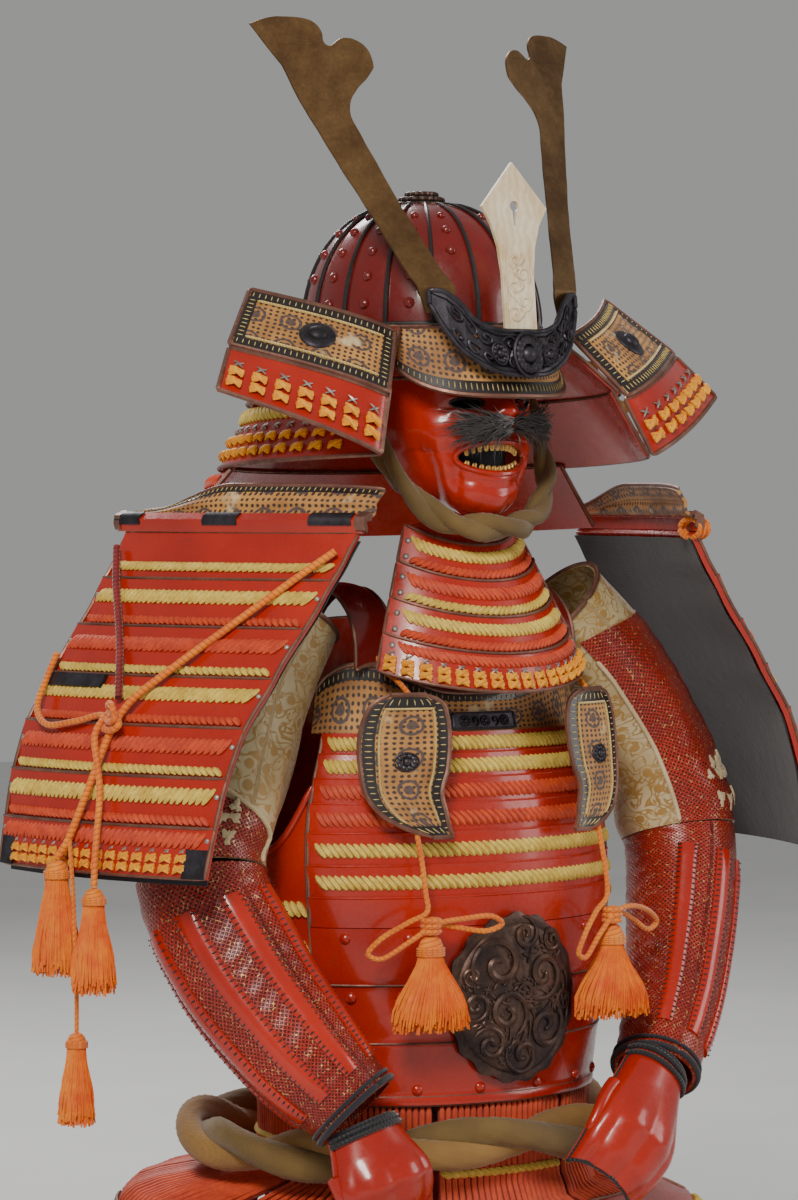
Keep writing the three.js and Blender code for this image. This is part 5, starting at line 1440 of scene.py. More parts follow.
def chest_bar():
    surface = Surface(lambda u, v: torso_at(mix(-14, 12, u), mix(-140, -155, v), 3.0))
    made = border(surface, -0.5, 1.3, 0.03, 20, 0)
    made.append(wall(surface, 20, 5, -0.6, 1.2))
    for u in (0.2, 0.5, 0.8):
        made += rosette(surface, u, 0.5, 5.0, 0, 8, 0.0)
    for u in (0.35, 0.65):
        made.append(scroll(surface, u, 0.5, 0.06, 0.34, 1.2, 0.3, 0.2, 0.8))
    look("chest_bar", made, [IRON])


# Medallion, with curling waves in relief
MEDALLION = {"z": -402, "half_width": 74, "half_height": 80, "scallops": 17, "front_y": -145.1,
             "sweep": 0.0022}


def medallion_face(u, v):
    """u goes round the disc and v from its rim to its middle."""
    scallop = 0.5 - 0.5 * np.cos(u * 2 * math.pi * MEDALLION["scallops"])
    reach = (1 - v) * (1 - 0.045 * smooth(clamp01(1 - v * 12)) * scallop)
    x = MEDALLION["half_width"] * reach * np.sin(2 * math.pi * u)
    z = MEDALLION["z"] + MEDALLION["half_height"] * reach * np.cos(2 * math.pi * u)
    return x, z, reach


def medallion_rise(reach):
    """How far the disc stands out, from its middle to its rim."""
    return np.interp(reach, [0, 0.4, 0.84, 0.87, 0.93, 1.0], [8.0, 7.6, 6.0, 3.4, 3.8, 2.2])


def medallion_back(x):
    return MEDALLION["front_y"] + MEDALLION["sweep"] * x * x


def medallion_relief():
    """Curling waves with spray round them and beads between."""
    wide, tall = MEDALLION["half_width"], MEDALLION["half_height"]

    def at(u, v):
        x, drop = mix(-wide, wide, u), mix(-tall, tall, v)
        rise = medallion_rise(np.hypot(x / wide, drop / tall))
        return points(x, medallion_back(x) - rise, MEDALLION["z"] + drop)

    face = facing(at, 0, -1, 0)
    made = []
    curls = ((0.34, 0.70, 0.19, 1, 3.4), (0.68, 0.63, 0.17, -1, 3.2), (0.40, 0.42, 0.16, -1, 3.0),
             (0.70, 0.33, 0.17, 1, 3.2), (0.28, 0.24, 0.12, 1, 2.5), (0.52, 0.17, 0.13, -1, 2.6),
             (0.18, 0.47, 0.10, -1, 2.2), (0.86, 0.48, 0.08, 1, 2.0), (0.54, 0.87, 0.11, 1, 2.4),
             (0.77, 0.82, 0.08, -1, 2.0), (0.54, 0.53, 0.07, 1, 1.8), (0.16, 0.64, 0.07, 1, 1.8))
    for k, (u, v, reach, hand, thick) in enumerate(curls):
        made.append(scroll(face, u, v, reach, reach * 0.92, 1.6, 1.3 * k, 0.7, thick, 0, hand))
        spray = 5 + int(reach * 40)
        around = 1.3 * k + np.arange(spray) * 0.42 * hand
        t = span(7)[None]
        lean = around[:, None] + 0.5 * hand * t
        far = reach * (1.12 + 0.34 * t)
        uu, vv = u + far * np.cos(lean), v + far * 0.92 * np.sin(lean)
        inside = np.hypot(uu[:, -1] - 0.5, vv[:, -1] - 0.5) < 0.41
        drops = face.out(uu, vv, 1.2 - 0.6 * t)[inside]
        made.append(tubes(drops, 1.7 * (1 - 0.7 * t), 6))
    beads = rng.uniform(0.16, 0.84, (26, 2))
    inside = beads[np.hypot(beads[:, 0] - 0.5, beads[:, 1] - 0.5) < 0.36]
    made.append(studs(face, inside[:, 0], inside[:, 1], 0.2, 1.9, 1.6, 8, 3))
    return made


def medallion():
    u, v = np.meshgrid(round_shares(170), np.linspace(0, 0.985, 32))
    x, z, reach = medallion_face(u, v)
    grain = 0.5 + 0.5 * np.cos(x * 0.5 + 4 * np.sin(z * 0.07) + 2 * np.sin(x * 0.11))
    rise = medallion_rise(reach) + 0.5 * grain * clamp01((0.82 - reach) / 0.06)
    back = medallion_back(x)
    made = [two_sided(points(x, back - rise, z), points(x, back, z), np.zeros((*u.shape, 2)), True)]
    made += medallion_relief()
    look("medallion", made, [MEDAL])


# Cords, bows and tassels
BOW_ROUTES = {
    "right": [(0, 2, 7.4), (1, -5, -20), (0, -12, -46), (-2, -17, -62), (-22, -15, -71), (-46, -5, -86),
              (-55, 1, -99), (-44, -2, -104), (-20, -16, -88), (2, -25, -73), (30, -30, -69), (58, -36, -68),
              (68, -37, -75), (54, -34, -81), (30, -27, -78), (12, -20, -74)],
    "left": [(0, 2, 7.4), (1, -5, -20), (0, -12, -44), (-4, -17, -60), (-20, -22, -72), (-40, -28, -96),
             (-46, -29, -110), (-38, -28, -114), (-18, -26, -92), (2, -25, -73), (26, -18, -70), (56, -5, -78),
             (74, 6, -90), (62, 3, -96), (36, -6, -84), (12, -16, -74)],
}
TASSEL_DROP = {"right": 83.4, "left": 85.2}
BOW_RING = (104, -136, -254)


def free_cord(name, stations, diameter, material, node):
    """A cord along its route."""
    path = Route(stations).evenly(150)
    piece = build(name, [tubes(path, diameter / 2, 10, 0, round_ends=False)], [material], node)


def tassel(name, top, length, head_radius, skirt_radius, strands, squash=1.0, node=None, knot=False):
    """A bound head over a skirt of fine wavy strands."""
    top = np.array(top, float)
    head_height = head_radius * 1.5
    head_squash = 0.5 + squash / 2
    turn = circle(24)
    rise = span(12)
    swell = np.interp(rise, [0, 0.15, 0.5, 0.85, 1], [0.35, 0.72, 0.95, 1.0, 0.9]) * head_radius
    head = points(top[0] + swell[:, None] * np.cos(turn),
                  top[1] + swell[:, None] * np.sin(turn) * head_squash,
                  top[2] - rise[:, None] * head_height + 0 * turn)
    made = [part(head, capped(1, 12, 24), pairs(turn / 6.28 * 3, rise[:, None] * 0.02))]
    for k in range(4):
        z = top[2] - head_height * (0.62 + 0.1 * k)
        bound = np.linspace(0, 6.2832, 40)
        ring = points(top[0] + head_radius * 1.02 * np.cos(bound),
                      top[1] + head_radius * 1.02 * head_squash * np.sin(bound), z)
        made.append(tubes(ring, 1.2, 6))
    i = np.arange(strands)
    share = ((i + 0.5) / strands) ** 0.3
    around = i * GOLDEN_ANGLE
    t = span(7)
    spread = head_radius * 0.85 + (skirt_radius - head_radius * 0.85) * smooth(t) ** 0.9
    wave = rng.uniform(0, 6.28, strands)[:, None] + t[None] * rng.uniform(5, 14, strands)[:, None]
    sway = 1.3 * np.sin(wave) * t[None]
    x = top[0] + np.cos(around)[:, None] * (share[:, None] * spread[None] + sway)
    flattened = mix(head_squash, squash, t)
    y = top[1] + np.sin(around)[:, None] * (share[:, None] * spread[None] + sway) * flattened[None]
    drop = length * rng.uniform(0.86, 1.0, strands)[:, None]
    z = top[2] - head_height * 0.8 - (drop - head_height * 0.8) * t[None]
    made.append(tubes(points(x, y, z), np.linspace(1.3, 1.0, 7)[None], 3, 1, round_ends=False))
    core = spread[:, None] * 0.92
    turn = turn[None]
    inner = points(top[0] + core * np.cos(turn),
                   top[1] + core * np.sin(turn) * flattened[:, None],
                   top[2] - head_height * 0.8 - (length * 0.84 - head_height * 0.8) * t[:, None] + 0 * turn)
    made.append(part(inner, capped(1, 7, 24), pairs(turn / 0.35, t[:, None] * 0.004), 1))
    ring = full_circle(26)
    for k in range(3 if knot else 0):
        made.append(tubes(points(top[0] + 7.5 * np.cos(ring), top[1] + 6.5 * np.sin(ring),
                                 top[2] + 3.5 + 5 * k), 2.9, 8))
    return build(name, made, [ORANGE, TASSEL_SILK], node)


def chest_cords():
    for suffix, sign in (("right", -1), ("left", 1)):
        x, y, z = BOW_RING
        stations = [(sign * x + dx, y + dy, z + dz) for dx, dy, dz in BOW_ROUTES[suffix]]
        end = tassel("chest_tassel_" + suffix + "_look", (sign * x, y - 20, z - TASSEL_DROP[suffix]), 88, 13,
                     42, 460, 0.45, node="chest_tassel_" + suffix, knot=True)
        free_cord("bow_cord_" + suffix + "_look", stations, 5, ORANGE, "bow_cord_" + suffix)


# Shoulder guards
GUARD_PROFILE = [[36, 229], [4, 248], [-31, 271], [-101, 320], [-156, 355], [-211, 373], [-275, 386]]
GUARD = {"half": 131, "centre_y": -20, "top": 25, "bottom": -275, "curl": 18, "lames": 7}
GUARD_HANG = {-1: (0, 22.5, 12.7), 1: (16, 12, 12)}
GUARD_CAP = [[0, 0, 8], [0.3, 15, 6], [0.34, 16, 1], [0.7, 30, -6], [1, 43, -16]]
CAP_FOOT_Z = 28.1
GUARD_FACE = 9
# how far each lame of a guard stands out at its top
GUARD_LIFT = 7.0
# rows of lacing in each lame, as material numbers: yellow 2, coral 3
GUARD_ROWS = ((2, None), (2, 3), (3, 2), (2, 3), (3, 2), (2, 3), (3, None))


def guard_point(side, across, z, out=0.0):
    shift, top_turn, bottom_turn = GUARD_HANG[side]
    turn = np.radians(mix(top_turn, bottom_turn, clamp01((30 - z) / 305)))
    x = table(GUARD_PROFILE, z)[0]
    reach = x + shift + out - GUARD["curl"] * (across / GUARD["half"]) ** 2
    return points(side * (reach - across * np.sin(turn)), GUARD["centre_y"] - across * np.cos(turn), z)


def guard_surface(side):
    def at(u, v):
        return guard_point(side, mix(-1, 1, u) * GUARD["half"] * mix(0.97, 1, v),
                           mix(GUARD["top"], GUARD["bottom"], v))

    return facing(at, side, 0, 0.2)


def lining_surface(side):
    def at(u, v):
        across = mix(-1, 1, u) * (GUARD["half"] - 4)
        return guard_point(side, across, mix(GUARD["top"] - 4, GUARD["bottom"] - 6, v), -4)

    return facing(at, side, 0, 0.2)


def cap_surface(side):
    def at(u, v):
        rise, out = table(GUARD_CAP, v)
        across = mix(-1, 1, u) * (GUARD["half"] + 4)
        lower = 1 - 0.8 * smooth(clamp01((-across - 10) / 100)) - 0.12 * (across / GUARD["half"]) ** 4
        base = guard_point(side, across, CAP_FOOT_Z + 0 * across, out)
        leather = np.maximum(0, rise - 16)
        base[..., 2] = CAP_FOOT_Z + rise - leather * (1 - lower)
        return base

    return facing(at, side, 0, 0.2)


def shoulder_guards():
    for side, suffix in SIDES:
        whole = guard_surface(side)
        made = []
        for i, (upper, lower) in enumerate(GUARD_ROWS):
            step = 1 / GUARD["lames"]
            end = min(1.0, step * (i + 1) + 0.012)
            lame = part_of(whole, 0, 1, step * i, end)
            made += tilted_lame(lame, GUARD_LIFT, 0.72, 28, 5, 2, (1.5, 1.7), GUARD_LIFT * 0.62, 10)
            last = i == GUARD["lames"] - 1
            if i > 0:
                made.append(row_ends(lame, 0.24 if last else 0.33, 0.015, GUARD_LIFT * 0.8, 2.6))
            v, band, share = (0.66, 11, 0.46) if i == 0 else (0.24 if last else 0.33, 17, 0.72)
            rows = [(v, band, 0.7, upper, share)]
            if lower is not None:
                rows.append((0.78, 10.5, -0.7, lower, 0.42))
            for v, band, lean, material, share in rows:
                lift = GUARD_LIFT * share
                made.append(lacing(lame, v, band, 6.2, lean * side, None, 0.03, 0.97, material, lift))
            if i == 3 and side < 0:
                iron = part_of(lame, 0.02, 0.34, 0.04, 0.3)
                made.append(wall(iron, 20, 6, GUARD_LIFT + 4.2, 0.3, material=6))
            if last:
                made += knotted_foot(lame, (0.46, 0.62, 0.83), 15, 0.1, 0.9, 4, 5, 2.6, 0.9)
                for u0, u1 in ((0.0, 0.085), (0.915, 1.0)):
                    corner = part_of(lame, u0, u1, 0.42, 1.0)
                    made.append(wall(corner, 8, 8, 5.2, 0.5, material=6))
        finish = [RED, TRIM, YELLOW, CORAL, AMBER, SILVER, IRON]
        look("shoulder_lames" + suffix, made, finish)
        cloth = wall(lining_surface(side), 30, 56, lining_ripple, 1.6)
        hung = build("shoulder_lining" + suffix + "_look", [cloth], [BLACK_CLOTH], "shoulder_lining" + suffix)
        shoulder_cap(side, suffix)


def lining_ripple(u, v):
    return 0.5 * np.sin(v * 44) + 0.4 * np.sin(u * 21 + v * 9) - 0.6


def shoulder_cap(side, suffix):
    surface = cap_surface(side)
    board = part_of(surface, 0, 1, 0.0, 0.31)
    made = [wall(part_of(surface, 0, 1, 0.33, 1.0), 70, 14, 0.0), wall(board, 70, 4, 2.5, 3.0, material=4)]
    made.append(bead(surface, (0, 1), (1, 1), 0, 70, 2.2, 8, 1))
    made += leather_edge(part_of(surface, 0.01, 0.99, 0.86, 0.97), 2, 3)
    for u in (0.06, 0.5, 0.9):
        made.append(wall(part_of(board, u - 0.07, u + 0.07, 0.45, 0.98), 8, 4, 3.4, 0.3, material=5))
    for u0, u1 in ((-0.012, 0.02), (0.98, 1.012)):
        made.append(wall(part_of(board, u0, u1, -0.04, 1.04), 5, 5, 4.0, 4.4, material=1))
    finish = [LEATHER_PRINT, TRIM, BLACK_LACQUER, CREAM, RED, IRON]
    look("shoulder_cap" + suffix, made, finish)


GUARD_CORDS = [{"node": "shoulder_cord_front", "diameter": 7,
                "route": [(126, 12, 7), (108, -8, 7), (72, -52, 7), (40, -92, 8), (14, -124, 9), (8, -150, 6),
                          (2, -200, 6), (-12, -250, 7), (-20, -262, 8)]},
               {"node": "shoulder_cord_back", "diameter": 7,
                "route": [(-120, 14, 5.2), (-92, -20, 5.2), (-52, -62, 5.2), (-20, -98, 6.2),
                          (-4, -120, 7.2)]}, {"node": "shoulder_cord_side", "diameter": 6,
                                              "route": [(-124, -84, 5), (-118, -104, 7), (-104, -132, 9),
                                                        (-78, -146, 8), (-40, -142, 7), (-8, -136, 8),
                                                        (2, -152, 16), (18, -200, 8), (28, -260, 8),
                                                        (30, -286, 8)]}, ]


def guard_station(across, z, out):
    return guard_point(-1, np.float64(across), np.float64(z), GUARD_FACE + out)


def shoulder_cords():
    back_top = guard_station(-20, -262, 8) - np.array([0, 0, 3])
    back = tassel("shoulder_tassel_back_look", back_top, 104, 11, 22, 300, node="shoulder_tassel_back")
    front_top = guard_station(30, -286, 8) - np.array([0, 0, 0.8])
    front = tassel("shoulder_tassel_front_look", front_top, 95, 10, 20, 280, node="shoulder_tassel_front")
    low_tassel()
    for item in GUARD_CORDS:
        dark = item["node"] == "shoulder_cord_back"
        stations = [guard_station(*s) for s in item["route"]]
        free_cord(item["node"] + "_look", stations, item["diameter"], DARK_RED_SILK if dark else ORANGE,
                  item["node"])
    cord_knot()
    cap_knot()


def low_tassel():
    station = guard_station(4, -272, 8)
    top = np.array([station[0] + 3, station[1], -418])
    line = Route([guard_station(-5.6, -246, 9), (station[0], station[1], -300), (top[0], top[1], -380),
                  (top[0], top[1], -425)])
    end = tassel("shoulder_tassel_low_look", top, 84, 9, 16, 220, node="shoulder_tassel_low")
    free_cord("shoulder_cord_low_look", line.stations, 4, ORANGE, "shoulder_tassel_low")


def cap_knot():
    """A short loop of cord tied round the front end of the left cap's board."""
    centre = guard_point(1, np.float64(122), np.float64(30), 9)
    made = []
    for k in range(3):
        turn = full_circle(34)
        made.append(tubes(points(centre[0] + (k - 1) * 6, centre[1] + 15 * np.cos(turn) + k,
                                 centre[2] + 9 * np.sin(turn)), 2.6, 8))
    build("cap_knot_left", made, [ORANGE])


def cord_knot():
    knot_at = guard_station(10, -136, 12)
    made = []
    for k in range(3):
        turn = full_circle(30)
        loop = points(knot_at[0] - 4 + 3 * np.sin(turn + k), knot_at[1] + 13 * np.cos(turn) * (1 - 0.2 * k),
                      knot_at[2] + (k - 1) * 7 + 5 * np.sin(turn))
        made.append(tubes(loop, 3.2, 8))
    build("shoulder_cord_knot", made, [ORANGE])


# Sleeves
ARMS = {
    "right": {"side": -1, "seam": 0.004, "mail": 0.15,
              "route": [(-160, 5, -46, 57), (-199, 3, -108, 56), (-231, -8, -194, 55), (-268, -26, -284, 60),
                        (-250, -66, -368, 60), (-219, -114, -438, 53), (-184, -155, -492, 42)],
              "wrist": (-184.3, -160, -504.2), "knuckles": (-168, -192, -572)},
    "left": {"side": 1, "seam": 0.0015, "mail": -0.1,
             "route": [(153, 3, -46, 56), (212, -5, -104, 55), (260, -14, -178, 54), (283, -32, -270, 55),
                       (260, -62, -346, 52), (218, -102, -422, 46), (168, -140, -486, 39)],
             "wrist": (158.4, -153.6, -476.3), "knuckles": (82, -206, -556)},
}
ELBOW = 0.5
SPLINTS = (-0.08, 0.04, 0.16, 0.28, 0.4)
SPLINT_HALF = 0.02808


def sleeve_surface(arm, start, end):
    route = Route([r[:3] for r in arm["route"]])
    keys = [[k / (len(arm["route"]) - 1), r[3]] for k, r in enumerate(arm["route"])]
    fine = route.at(span(80))

    def at(u, v):
        u, v = np.broadcast_arrays(np.asarray(u, float), v)
        share = mix(start, end, v)
        held = clamp01(share).ravel()
        tangent = route.tangent(held).reshape(*u.shape, 3)
        centre = route.at(held).reshape(*u.shape, 3) + tangent * ((share - clamp01(share)) * 100)[..., None]
        radius = np.interp(share, [k for k, _ in keys], [r for _, r in keys])
        out = np.array([arm["side"], 0.0, 0.0])
        out = unit(out - tangent * tangent[..., :1] * arm["side"])
        forward = np.cross(tangent, out)
        forward = np.where(forward[..., 1:2] > 0, -forward, forward)
        turn = 2 * math.pi * u
        ring = forward * np.cos(turn)[..., None] + out * np.sin(turn)[..., None]
        return centre + ring * radius[..., None]

    def away(p):
        flat = p.reshape(-1, 3)
        near = np.argmin(((flat[:, None] - fine[None]) ** 2).sum(-1), axis=1)
        return (flat - fine[near]).reshape(p.shape)

    return Surface(at, away)


SLEEVE_FOLDS = [(0.88, 0.3, 0.09, 0.3, 6), (0.78, 0.62, 0.1, 0.16, 7), (0.95, 0.8, 0.12, 0.12, 6),
                (0.7, 0.92, 0.12, 0.1, 6), (0.62, 0.45, 0.08, 0.3, 4), (0.1, 0.9, 0.16, 0.08, 4)]
SLEEVE_CREASES = [(0.83, 0.42, 0.035, 0.22, 3), (0.9, 0.62, 0.04, 0.16, 3), (0.68, 0.74, 0.05, 0.1, 3),
                  (0.15, 0.7, 0.05, 0.12, 2.5), (0.36, 0.6, 0.05, 0.16, 2.5), (0.5, 0.82, 0.07, 0.08, 3),
                  (0.28, 0.86, 0.07, 0.07, 2.5), (0.58, 0.22, 0.04, 0.2, 2.5), (0.42, 0.3, 0.05, 0.2, 2),
                  (0.02, 0.5, 0.04, 0.2, 2.5)]


def fold_height(u, v):
    total = 0 * u
    for at, along, half_round, half_long, depth in SLEEVE_FOLDS + SLEEVE_CREASES:
        apart = np.abs((u - at + 0.5) % 1 - 0.5)
        total = total + depth * bump(apart, 0, half_round) * bump(v, along, half_long)
    return total


def sleeves():
    for suffix, arm in ARMS.items():
        upper = sleeve_surface(arm, 0, ELBOW - arm["seam"])
        made = [shell(upper, round_shares(72), span(44), fold_height, closed=True)]
        made.append(sleeve_mail(upper, arm["mail"]))
        made.append(tubes(upper.out(span(90), 0.0, 0.5), 2.4, 8, 2))
        v = np.linspace(0.2, 0.99, 60)
        for u in (mail_start(arm["mail"], v), np.full(60, 0.56)):
            made.append(tubes(upper.out(u, v, fold_height(u % 1.0, v) + 1.4), 2.3, 8, 3))
        splint = (0.2, 0.26, 0.5, 0.68) if suffix == "left" else (0.19, 0.25, 0.52, 0.76)

        def plate_lift(u, v):
            return 4.4 + fold_height(mix(*splint[:2], u), mix(*splint[2:], v))

        made.append(wall(part_of(upper, *splint), 8, 16, plate_lift, 0.3, material=4))
        build("sleeve_upper_" + suffix + "_look", made, [BROCADE, MAIL, TRIM, CREAM_CLOTH, RED],
              "sleeve_upper_" + suffix)
        sleeve_lower(suffix, arm)


def mail_start(edge, v):
    """Where the mail begins round the sleeve: it draws inwards over the elbow."""
    return mix(edge, -0.1, smooth(clamp01((v - 0.72) / 0.14)))


def sleeve_mail(surface, edge):
    """Mail over the sleeve's outer and front side, gathered towards the elbow."""
    u, v = np.meshgrid(span(56), np.linspace(0.12, 1.0, 52))
    u = mix(mail_start(edge, v), 0.56, u)
    start = 0.16 + 0.10 * np.sin(u * 7)
    height = fold_height(u % 1.0, v) + 1.6 + 0.5 * np.sin(v * 60 + 3 * np.sin(u * 9))
    height = height + 1.2 * np.sin(u * 26) * smooth(clamp01((v - 0.6) / 0.4))
    v_real = mix(start, 1.0, (v - 0.12) / 0.88)
    outer = surface.out(u, v_real, height)
    inner = surface.out(u, v_real, height * 0 + 0.2 + fold_height(u % 1.0, v_real))
    wide, tall = surface.size()
    return two_sided(outer, inner, np.stack([u * wide, v_real * tall], -1) * MM, material=1)


def splint_crown(u, v):
    """A splint's rounded outer face, lower towards its ends."""
    return 2.0 + 3.4 * (1 - (2 * u - 1) ** 2) ** 0.5 * np.minimum(1, 9 * np.minimum(v, 1 - v) + 0.4)


def splint_stitches(strip, count=34):
    """Short dark stitches over both long edges of a splint."""
    v = (np.arange(count) + 0.5) / count
    t = np.linspace(0, 2, 3)[None]
    made = []
    for edge, inwards in ((0.0, 0.10), (1.0, -0.10)):
        u = edge + inwards * t + 0 * v[:, None]
        made.append(tubes(strip.out(u, v[:, None], 3.4 + 0.9 * t), 0.85, 4, 2))
    return made


def sleeve_lower(suffix, arm):
    surface = sleeve_surface(arm, ELBOW + arm["seam"], 1)

    def swell(u, v):
        between = 0 * u
        for at in SPLINTS:
            between = np.maximum(between, bump(np.abs((u - at + 0.5) % 1 - 0.5), 0, 0.06))
        return 1.4 * between * bump(v, 0.5, 0.55) + 0.7 * np.sin(v * 90 + 2 * np.sin(u * 40)) * (1 - between)

    made = [shell(surface, round_shares(90), span(56), swell, closed=True)]
    for at in SPLINTS:
        strip = part_of(surface, at - SPLINT_HALF, at + SPLINT_HALF, 0.12, 0.88)
        made.append(shell(strip, np.linspace(0.001, 0.999, 8), span(24), splint_crown, 0.4, material=1))
        made += splint_stitches(strip)
    for v, radius in ((0.985, 3.0), (0.955, 1.8)):
        made.append(tubes(surface.out(span(90), v, 1.6), radius, 8, 3))
    look("sleeve_lower_" + suffix, made, [MAIL, RED, BLACK_SILK, BLACK_CLOTH])
    torn_patches(suffix, arm)


def torn_patches(suffix, arm):
    """Pale cloth that shows through where the mail has worn away at the elbow."""
    upper = sleeve_surface(arm, 0, ELBOW - arm["seam"])
    made = []
    for k in range(16):
        u0 = 0.02 + 0.30 * rng.random()
        v0 = 0.80 + 0.15 * rng.random()
        half_u, half_v = rng.uniform(0.008, 0.022), rng.uniform(0.012, 0.03)
        t = circle(18)
        ragged = 1 + 0.35 * np.sin(t * 3 + k) + 0.2 * np.sin(t * 7 + 2 * k)
        rings = np.linspace(1, 0, 4)
        u = u0 + half_u * np.cos(t)[None] * ragged[None] * rings[:, None]
        v = v0 + half_v * np.sin(t)[None] * ragged[None] * rings[:, None]
        height = fold_height(u % 1, v) + 3.1 + 1.2 * (1 - rings[:, None]) + 0 * u
        verts = upper.out(u, v, height)
        low = upper.out(u[:1], v[:1], fold_height(u[:1] % 1, v[:1]) + 1.0)
        body = np.vstack([low, verts])
        uv = np.stack([u, v], -1)
        made.append(part(body, capped(1, 5, 18)[:2], np.vstack([uv[:1], uv])))
    build("sleeve_worn_cloth_" + suffix, made, [CREAM_CLOTH])


# Hand guards
def hand_surface(arm):
    wrist, knuckles = np.array(arm["wrist"]), np.array(arm["knuckles"])
    forward = unit(knuckles - wrist)
    side = np.array([arm["side"], 0.25, 0.0])
    side = unit(side - forward * side.dot(forward))
    out = np.cross(forward, side)
    out = -out if out[1] > 0 else out

    def at(u, v):
        u, v = np.broadcast_arrays(np.asarray(u, float), v)
        angle = np.radians(mix(-96, 96, u))
        width = mix(33, 46, smooth(clamp01(v * 1.6))) * np.where(v > 0.8, mix(1, 0.86, (v - 0.8) / 0.2), 1)
        curl = 34 * clamp01((v - 0.55) / 0.45) ** 2
        return (wrist + (knuckles - wrist) * (v * 1.12)[..., None] + side * (width * np.sin(angle))[..., None]
                + out * (22 * np.cos(angle) - curl)[..., None])

    return facing(at, 0, -1, 0.35)


def hand_guards():
    for suffix, arm in ARMS.items():
        surface = hand_surface(arm)

        def ridge(u, v):
            middle = bump(u, 0.5, 0.5)
            knuckle = np.abs(np.sin(np.radians(720 * (u - 0.5)))) * smooth(clamp01((v - 0.3) * 3)) * middle
            joint = 1.6 * bump(v, 0.68, 0.07) * middle + 1.2 * bump(v, 0.88, 0.06) * middle
            return 3.8 * knuckle + joint

        made = [wall(surface, 60, 36, ridge, 2.5)] + border(surface, 0.4, 2.0, 0.0, 50, 1)
        thumb_side = 0.97 if arm["side"] < 0 else 0.03
        t = span(16)
        thumb = surface.out(thumb_side, 0.38 + 0.44 * t, -2 + 3 * np.sin(math.pi * t))
        made.append(tubes(thumb, (7.5 * (1 - 0.35 * t))[None], 12, 0))
        for v in (0.04, 0.1):
            made.append(bead(surface, (0, 1), (v, v), 1.8, 40, 2.6, 8, 1))
        look("hand_guard_" + suffix, made, [RED, BLACK_SILK])


# Sash
SASH = {"right": 232, "left": 205, "b": 160, "centre_y": 6.8, "z": -535, "radius": 25}


def sash():
    turn = np.arange(16) / 16 * 2 * math.pi
    half = np.where(turn > math.pi, SASH["right"], SASH["left"])
    stations = points(half * np.sin(turn), SASH["centre_y"] - SASH["b"] * np.cos(turn),
                      SASH["z"] + 4 * np.cos(3 * turn))
    route = Route(stations, closed=True)
    strands = [wound(route, 240, 30, lambda t: 14.2 + 1.0 * np.sin(6.2832 * 5 * t), 2, 0.06, 5, 0.035, 0.85,
                     True, material, 10.0, start) for start, material in ((0.4, 0), (0.4 + math.pi, 1))]
    roll = look("sash", strands, [SASH_CLOTH, OCHRE_CLOTH])


# Skirt
SKIRT_PROFILE = [[-505, 0], [-542, 0], [-566, 10], [-586, 60], [-608, 112], [-646, 142], [-704, 168],
                 [-768, 186], [-832, 196]]
PANELS = [-154.3, -102.9, -51.4, 0, 51.4, 102.9, 154.3]
PANEL = {"half": 24.6, "top": -498.6, "curtain": -604, "bottom": -832, "inset": -4.4}


def skirt_point(angle, z):
    drop = 34 * bump(angle, 0, 95)
    lift = 32 * bump(angle, -115, 70) * smooth(clamp01((-562 - z) / 34))
    out = np.interp(z + drop - lift, [r[0] for r in SKIRT_PROFILE[::-1]], [r[1] for r in SKIRT_PROFILE[::-1]])
    base = torso_at(angle, np.full(np.shape(angle), float(RIM_Z)), PANEL["inset"] + out)
    base[..., 2] = z
    return base


def skirt():
    for index, middle in enumerate(PANELS):
        def at(u, v, middle=middle):
            angle = middle + mix(-PANEL["half"], PANEL["half"], u)
            angle, z = np.broadcast_arrays(angle, mix(PANEL["top"], PANEL["bottom"], v))
            return skirt_point(angle, z)

        surface = Surface(at, lambda p: p * np.array([1, 1, 0]) + np.array([0, 0, 60]))
        share = (PANEL["top"] - PANEL["curtain"]) / (PANEL["top"] - PANEL["bottom"])
        curtain = part_of(surface, 0.0, 1.0, 0.0, share)
        made = [wall(curtain, 16, 20, 0.0, 1.2, material=4)]
        count = 22
        u = (np.arange(count) + 0.5) / count
        v = np.linspace(0.0, 0.99, 16)
        laces = curtain.out(u[:, None], v[None], 1.4 + 0.7 * np.sin(u[:, None] * 19 + v[None] * 3))
        made.append(tubes(laces, 3.0, 5, 3))
        for row in (0.36, 0.62):
            made.append(lacing(curtain, row, 9, 8.0, 0.7, radius=3.2, material=2, height=2.4))
        for i in range(3):
            step = (1 - share) / 3
            lame = part_of(surface, 0, 1, share + step * i, min(1.0, share + step * (i + 1) + 0.01))
            made += tilted_lame(lame, 4.0, 0.75, 22, 6, 2.2, (1.7, 1.7), 2.6, 12)
            middle_v, band, material = ((0.3, 19, 2), (0.3, 19, 3), (0.26, 17, 2))[i]
            made.append(lacing(lame, middle_v, band, 7.0, 0.7, None, 0.03, 0.97, material, 2.2))
            if i == 2:
                made += knotted_foot(lame, (0.47, 0.62, 0.8), 8, 0.08, 0.92, 5, 6, 1.6, 1.1)
        finish = [RED, TRIM, YELLOW, CORAL, DARK_RED_SILK, AMBER, SILVER]
        look("skirt_panel_" + str(index + 1), made, finish)


# Solids whose own shape stays: better materials and softened edges
def dress_solids():
    for node, material, slot in (("crest_blade", IVORY, "ivory_wood"), ("crest_holder", IRON, "dark_iron")):
        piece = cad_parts[node]
        for place in piece.material_slots:
            place.material = material
        if not piece.material_slots:
            piece.data.materials.append(material)
        add_bevel(piece, 0.6)


# Camera, floor and light
VIEW = {"azimuth": math.radians(-35), "elevation": math.radians(1.6), "distance": 4.0, "across": -0.0247,
        "height": -0.038, "lens": 126.3}


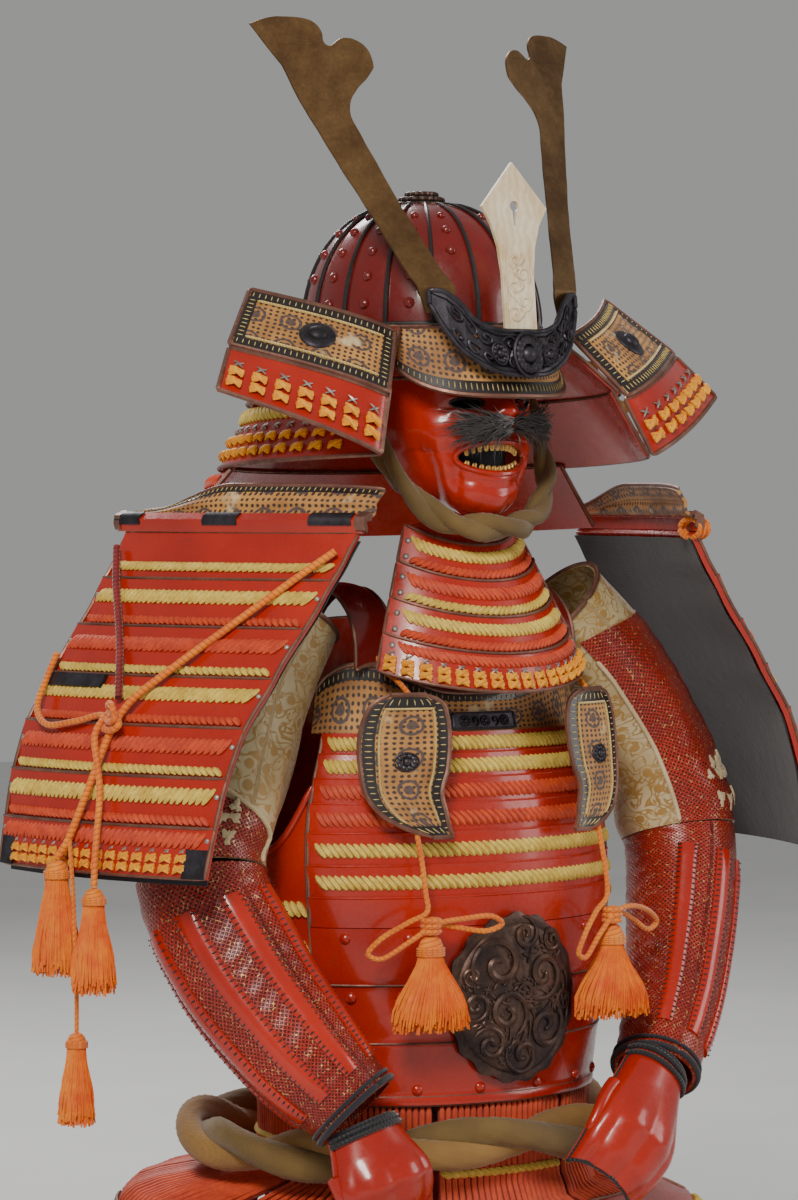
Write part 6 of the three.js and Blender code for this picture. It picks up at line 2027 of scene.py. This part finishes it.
def camera():
    data = bpy.data.cameras.new("camera")
    data.lens = VIEW["lens"]
    data.sensor_width = 36
    made = bpy.data.objects.new("camera", data)
    bpy.context.scene.collection.objects.link(made)
    a, e = VIEW["azimuth"], VIEW["elevation"]
    right = Vector((math.cos(a), math.sin(a), 0))
    back = Vector((math.sin(a) * math.cos(e), -math.cos(a) * math.cos(e), math.sin(e)))
    target = right * VIEW["across"] + Vector((0, 0, VIEW["height"]))
    made.location = target + back * VIEW["distance"]
    made.rotation_mode = "QUATERNION"
    made.rotation_quaternion = (-back).to_track_quat("-Z", "Y")
    bpy.context.scene.camera = made


def area_light(name, location, target, size, power, colour=(1, 1, 1)):
    data = bpy.data.lights.new(name, "AREA")
    data.shape = "DISK"
    data.size = size
    data.energy = power
    data.color = colour
    made = bpy.data.objects.new(name, data)
    bpy.context.scene.collection.objects.link(made)
    made.location = location
    direction = Vector(target) - Vector(location)
    made.rotation_mode = "QUATERNION"
    made.rotation_quaternion = direction.to_track_quat("-Z", "Y")


def studio():
    area_light("key", (-2.8, -2.8, 2.4), (0, 0, -0.1), 1.3, 165, (1.0, 0.95, 0.88))
    area_light("fill", (2.8, -2.4, 0.8), (0, 0, -0.2), 2.0, 40, (1.0, 0.97, 0.94))
    area_light("rim", (0.8, 3.0, 2.2), (0, 0, 0), 1.6, 80)
    world = bpy.data.worlds.new("studio")
    world.use_nodes = True
    shade = world.node_tree.nodes["Background"]
    shade.inputs["Color"].default_value = (0.78, 0.78, 0.77, 1)
    shade.inputs["Strength"].default_value = 0.42
    bpy.context.scene.world = world
    floor_mesh = bpy.data.meshes.new("floor")
    half, z = 9.0, -0.86
    floor_mesh.from_pydata([(-half, -half, z), (half, -half, z), (half, half, z), (-half, half, z)], [],
                           [(0, 1, 2, 3)])
    floor = bpy.data.objects.new("floor", floor_mesh)
    bpy.context.scene.collection.objects.link(floor)
    p = Paint("pale_floor", roughness=0.85)
    p.set(base_color=p.blend(p.spread(p.noise(3, 3), 0, 1), (0.72, 0.72, 0.71), (0.68, 0.68, 0.67)))
    floor_mesh.materials.append(p.material)


camera()
chest_cords()
shoulder_cords()
helmet_bowl()
visor()
neck_guard()
turn_backs()
crest_holder()
crest_relief()
horns()
face_guard()
moustache()
chin_band()
throat_guard()
chest_plate()
front_laced()
front_plates()
side_plates()
cuirass_back()
straps()
chest_wings()
chest_bar()
medallion()
shoulder_guards()
sleeves()
hand_guards()
sash()
skirt()
dress_solids()
studio()
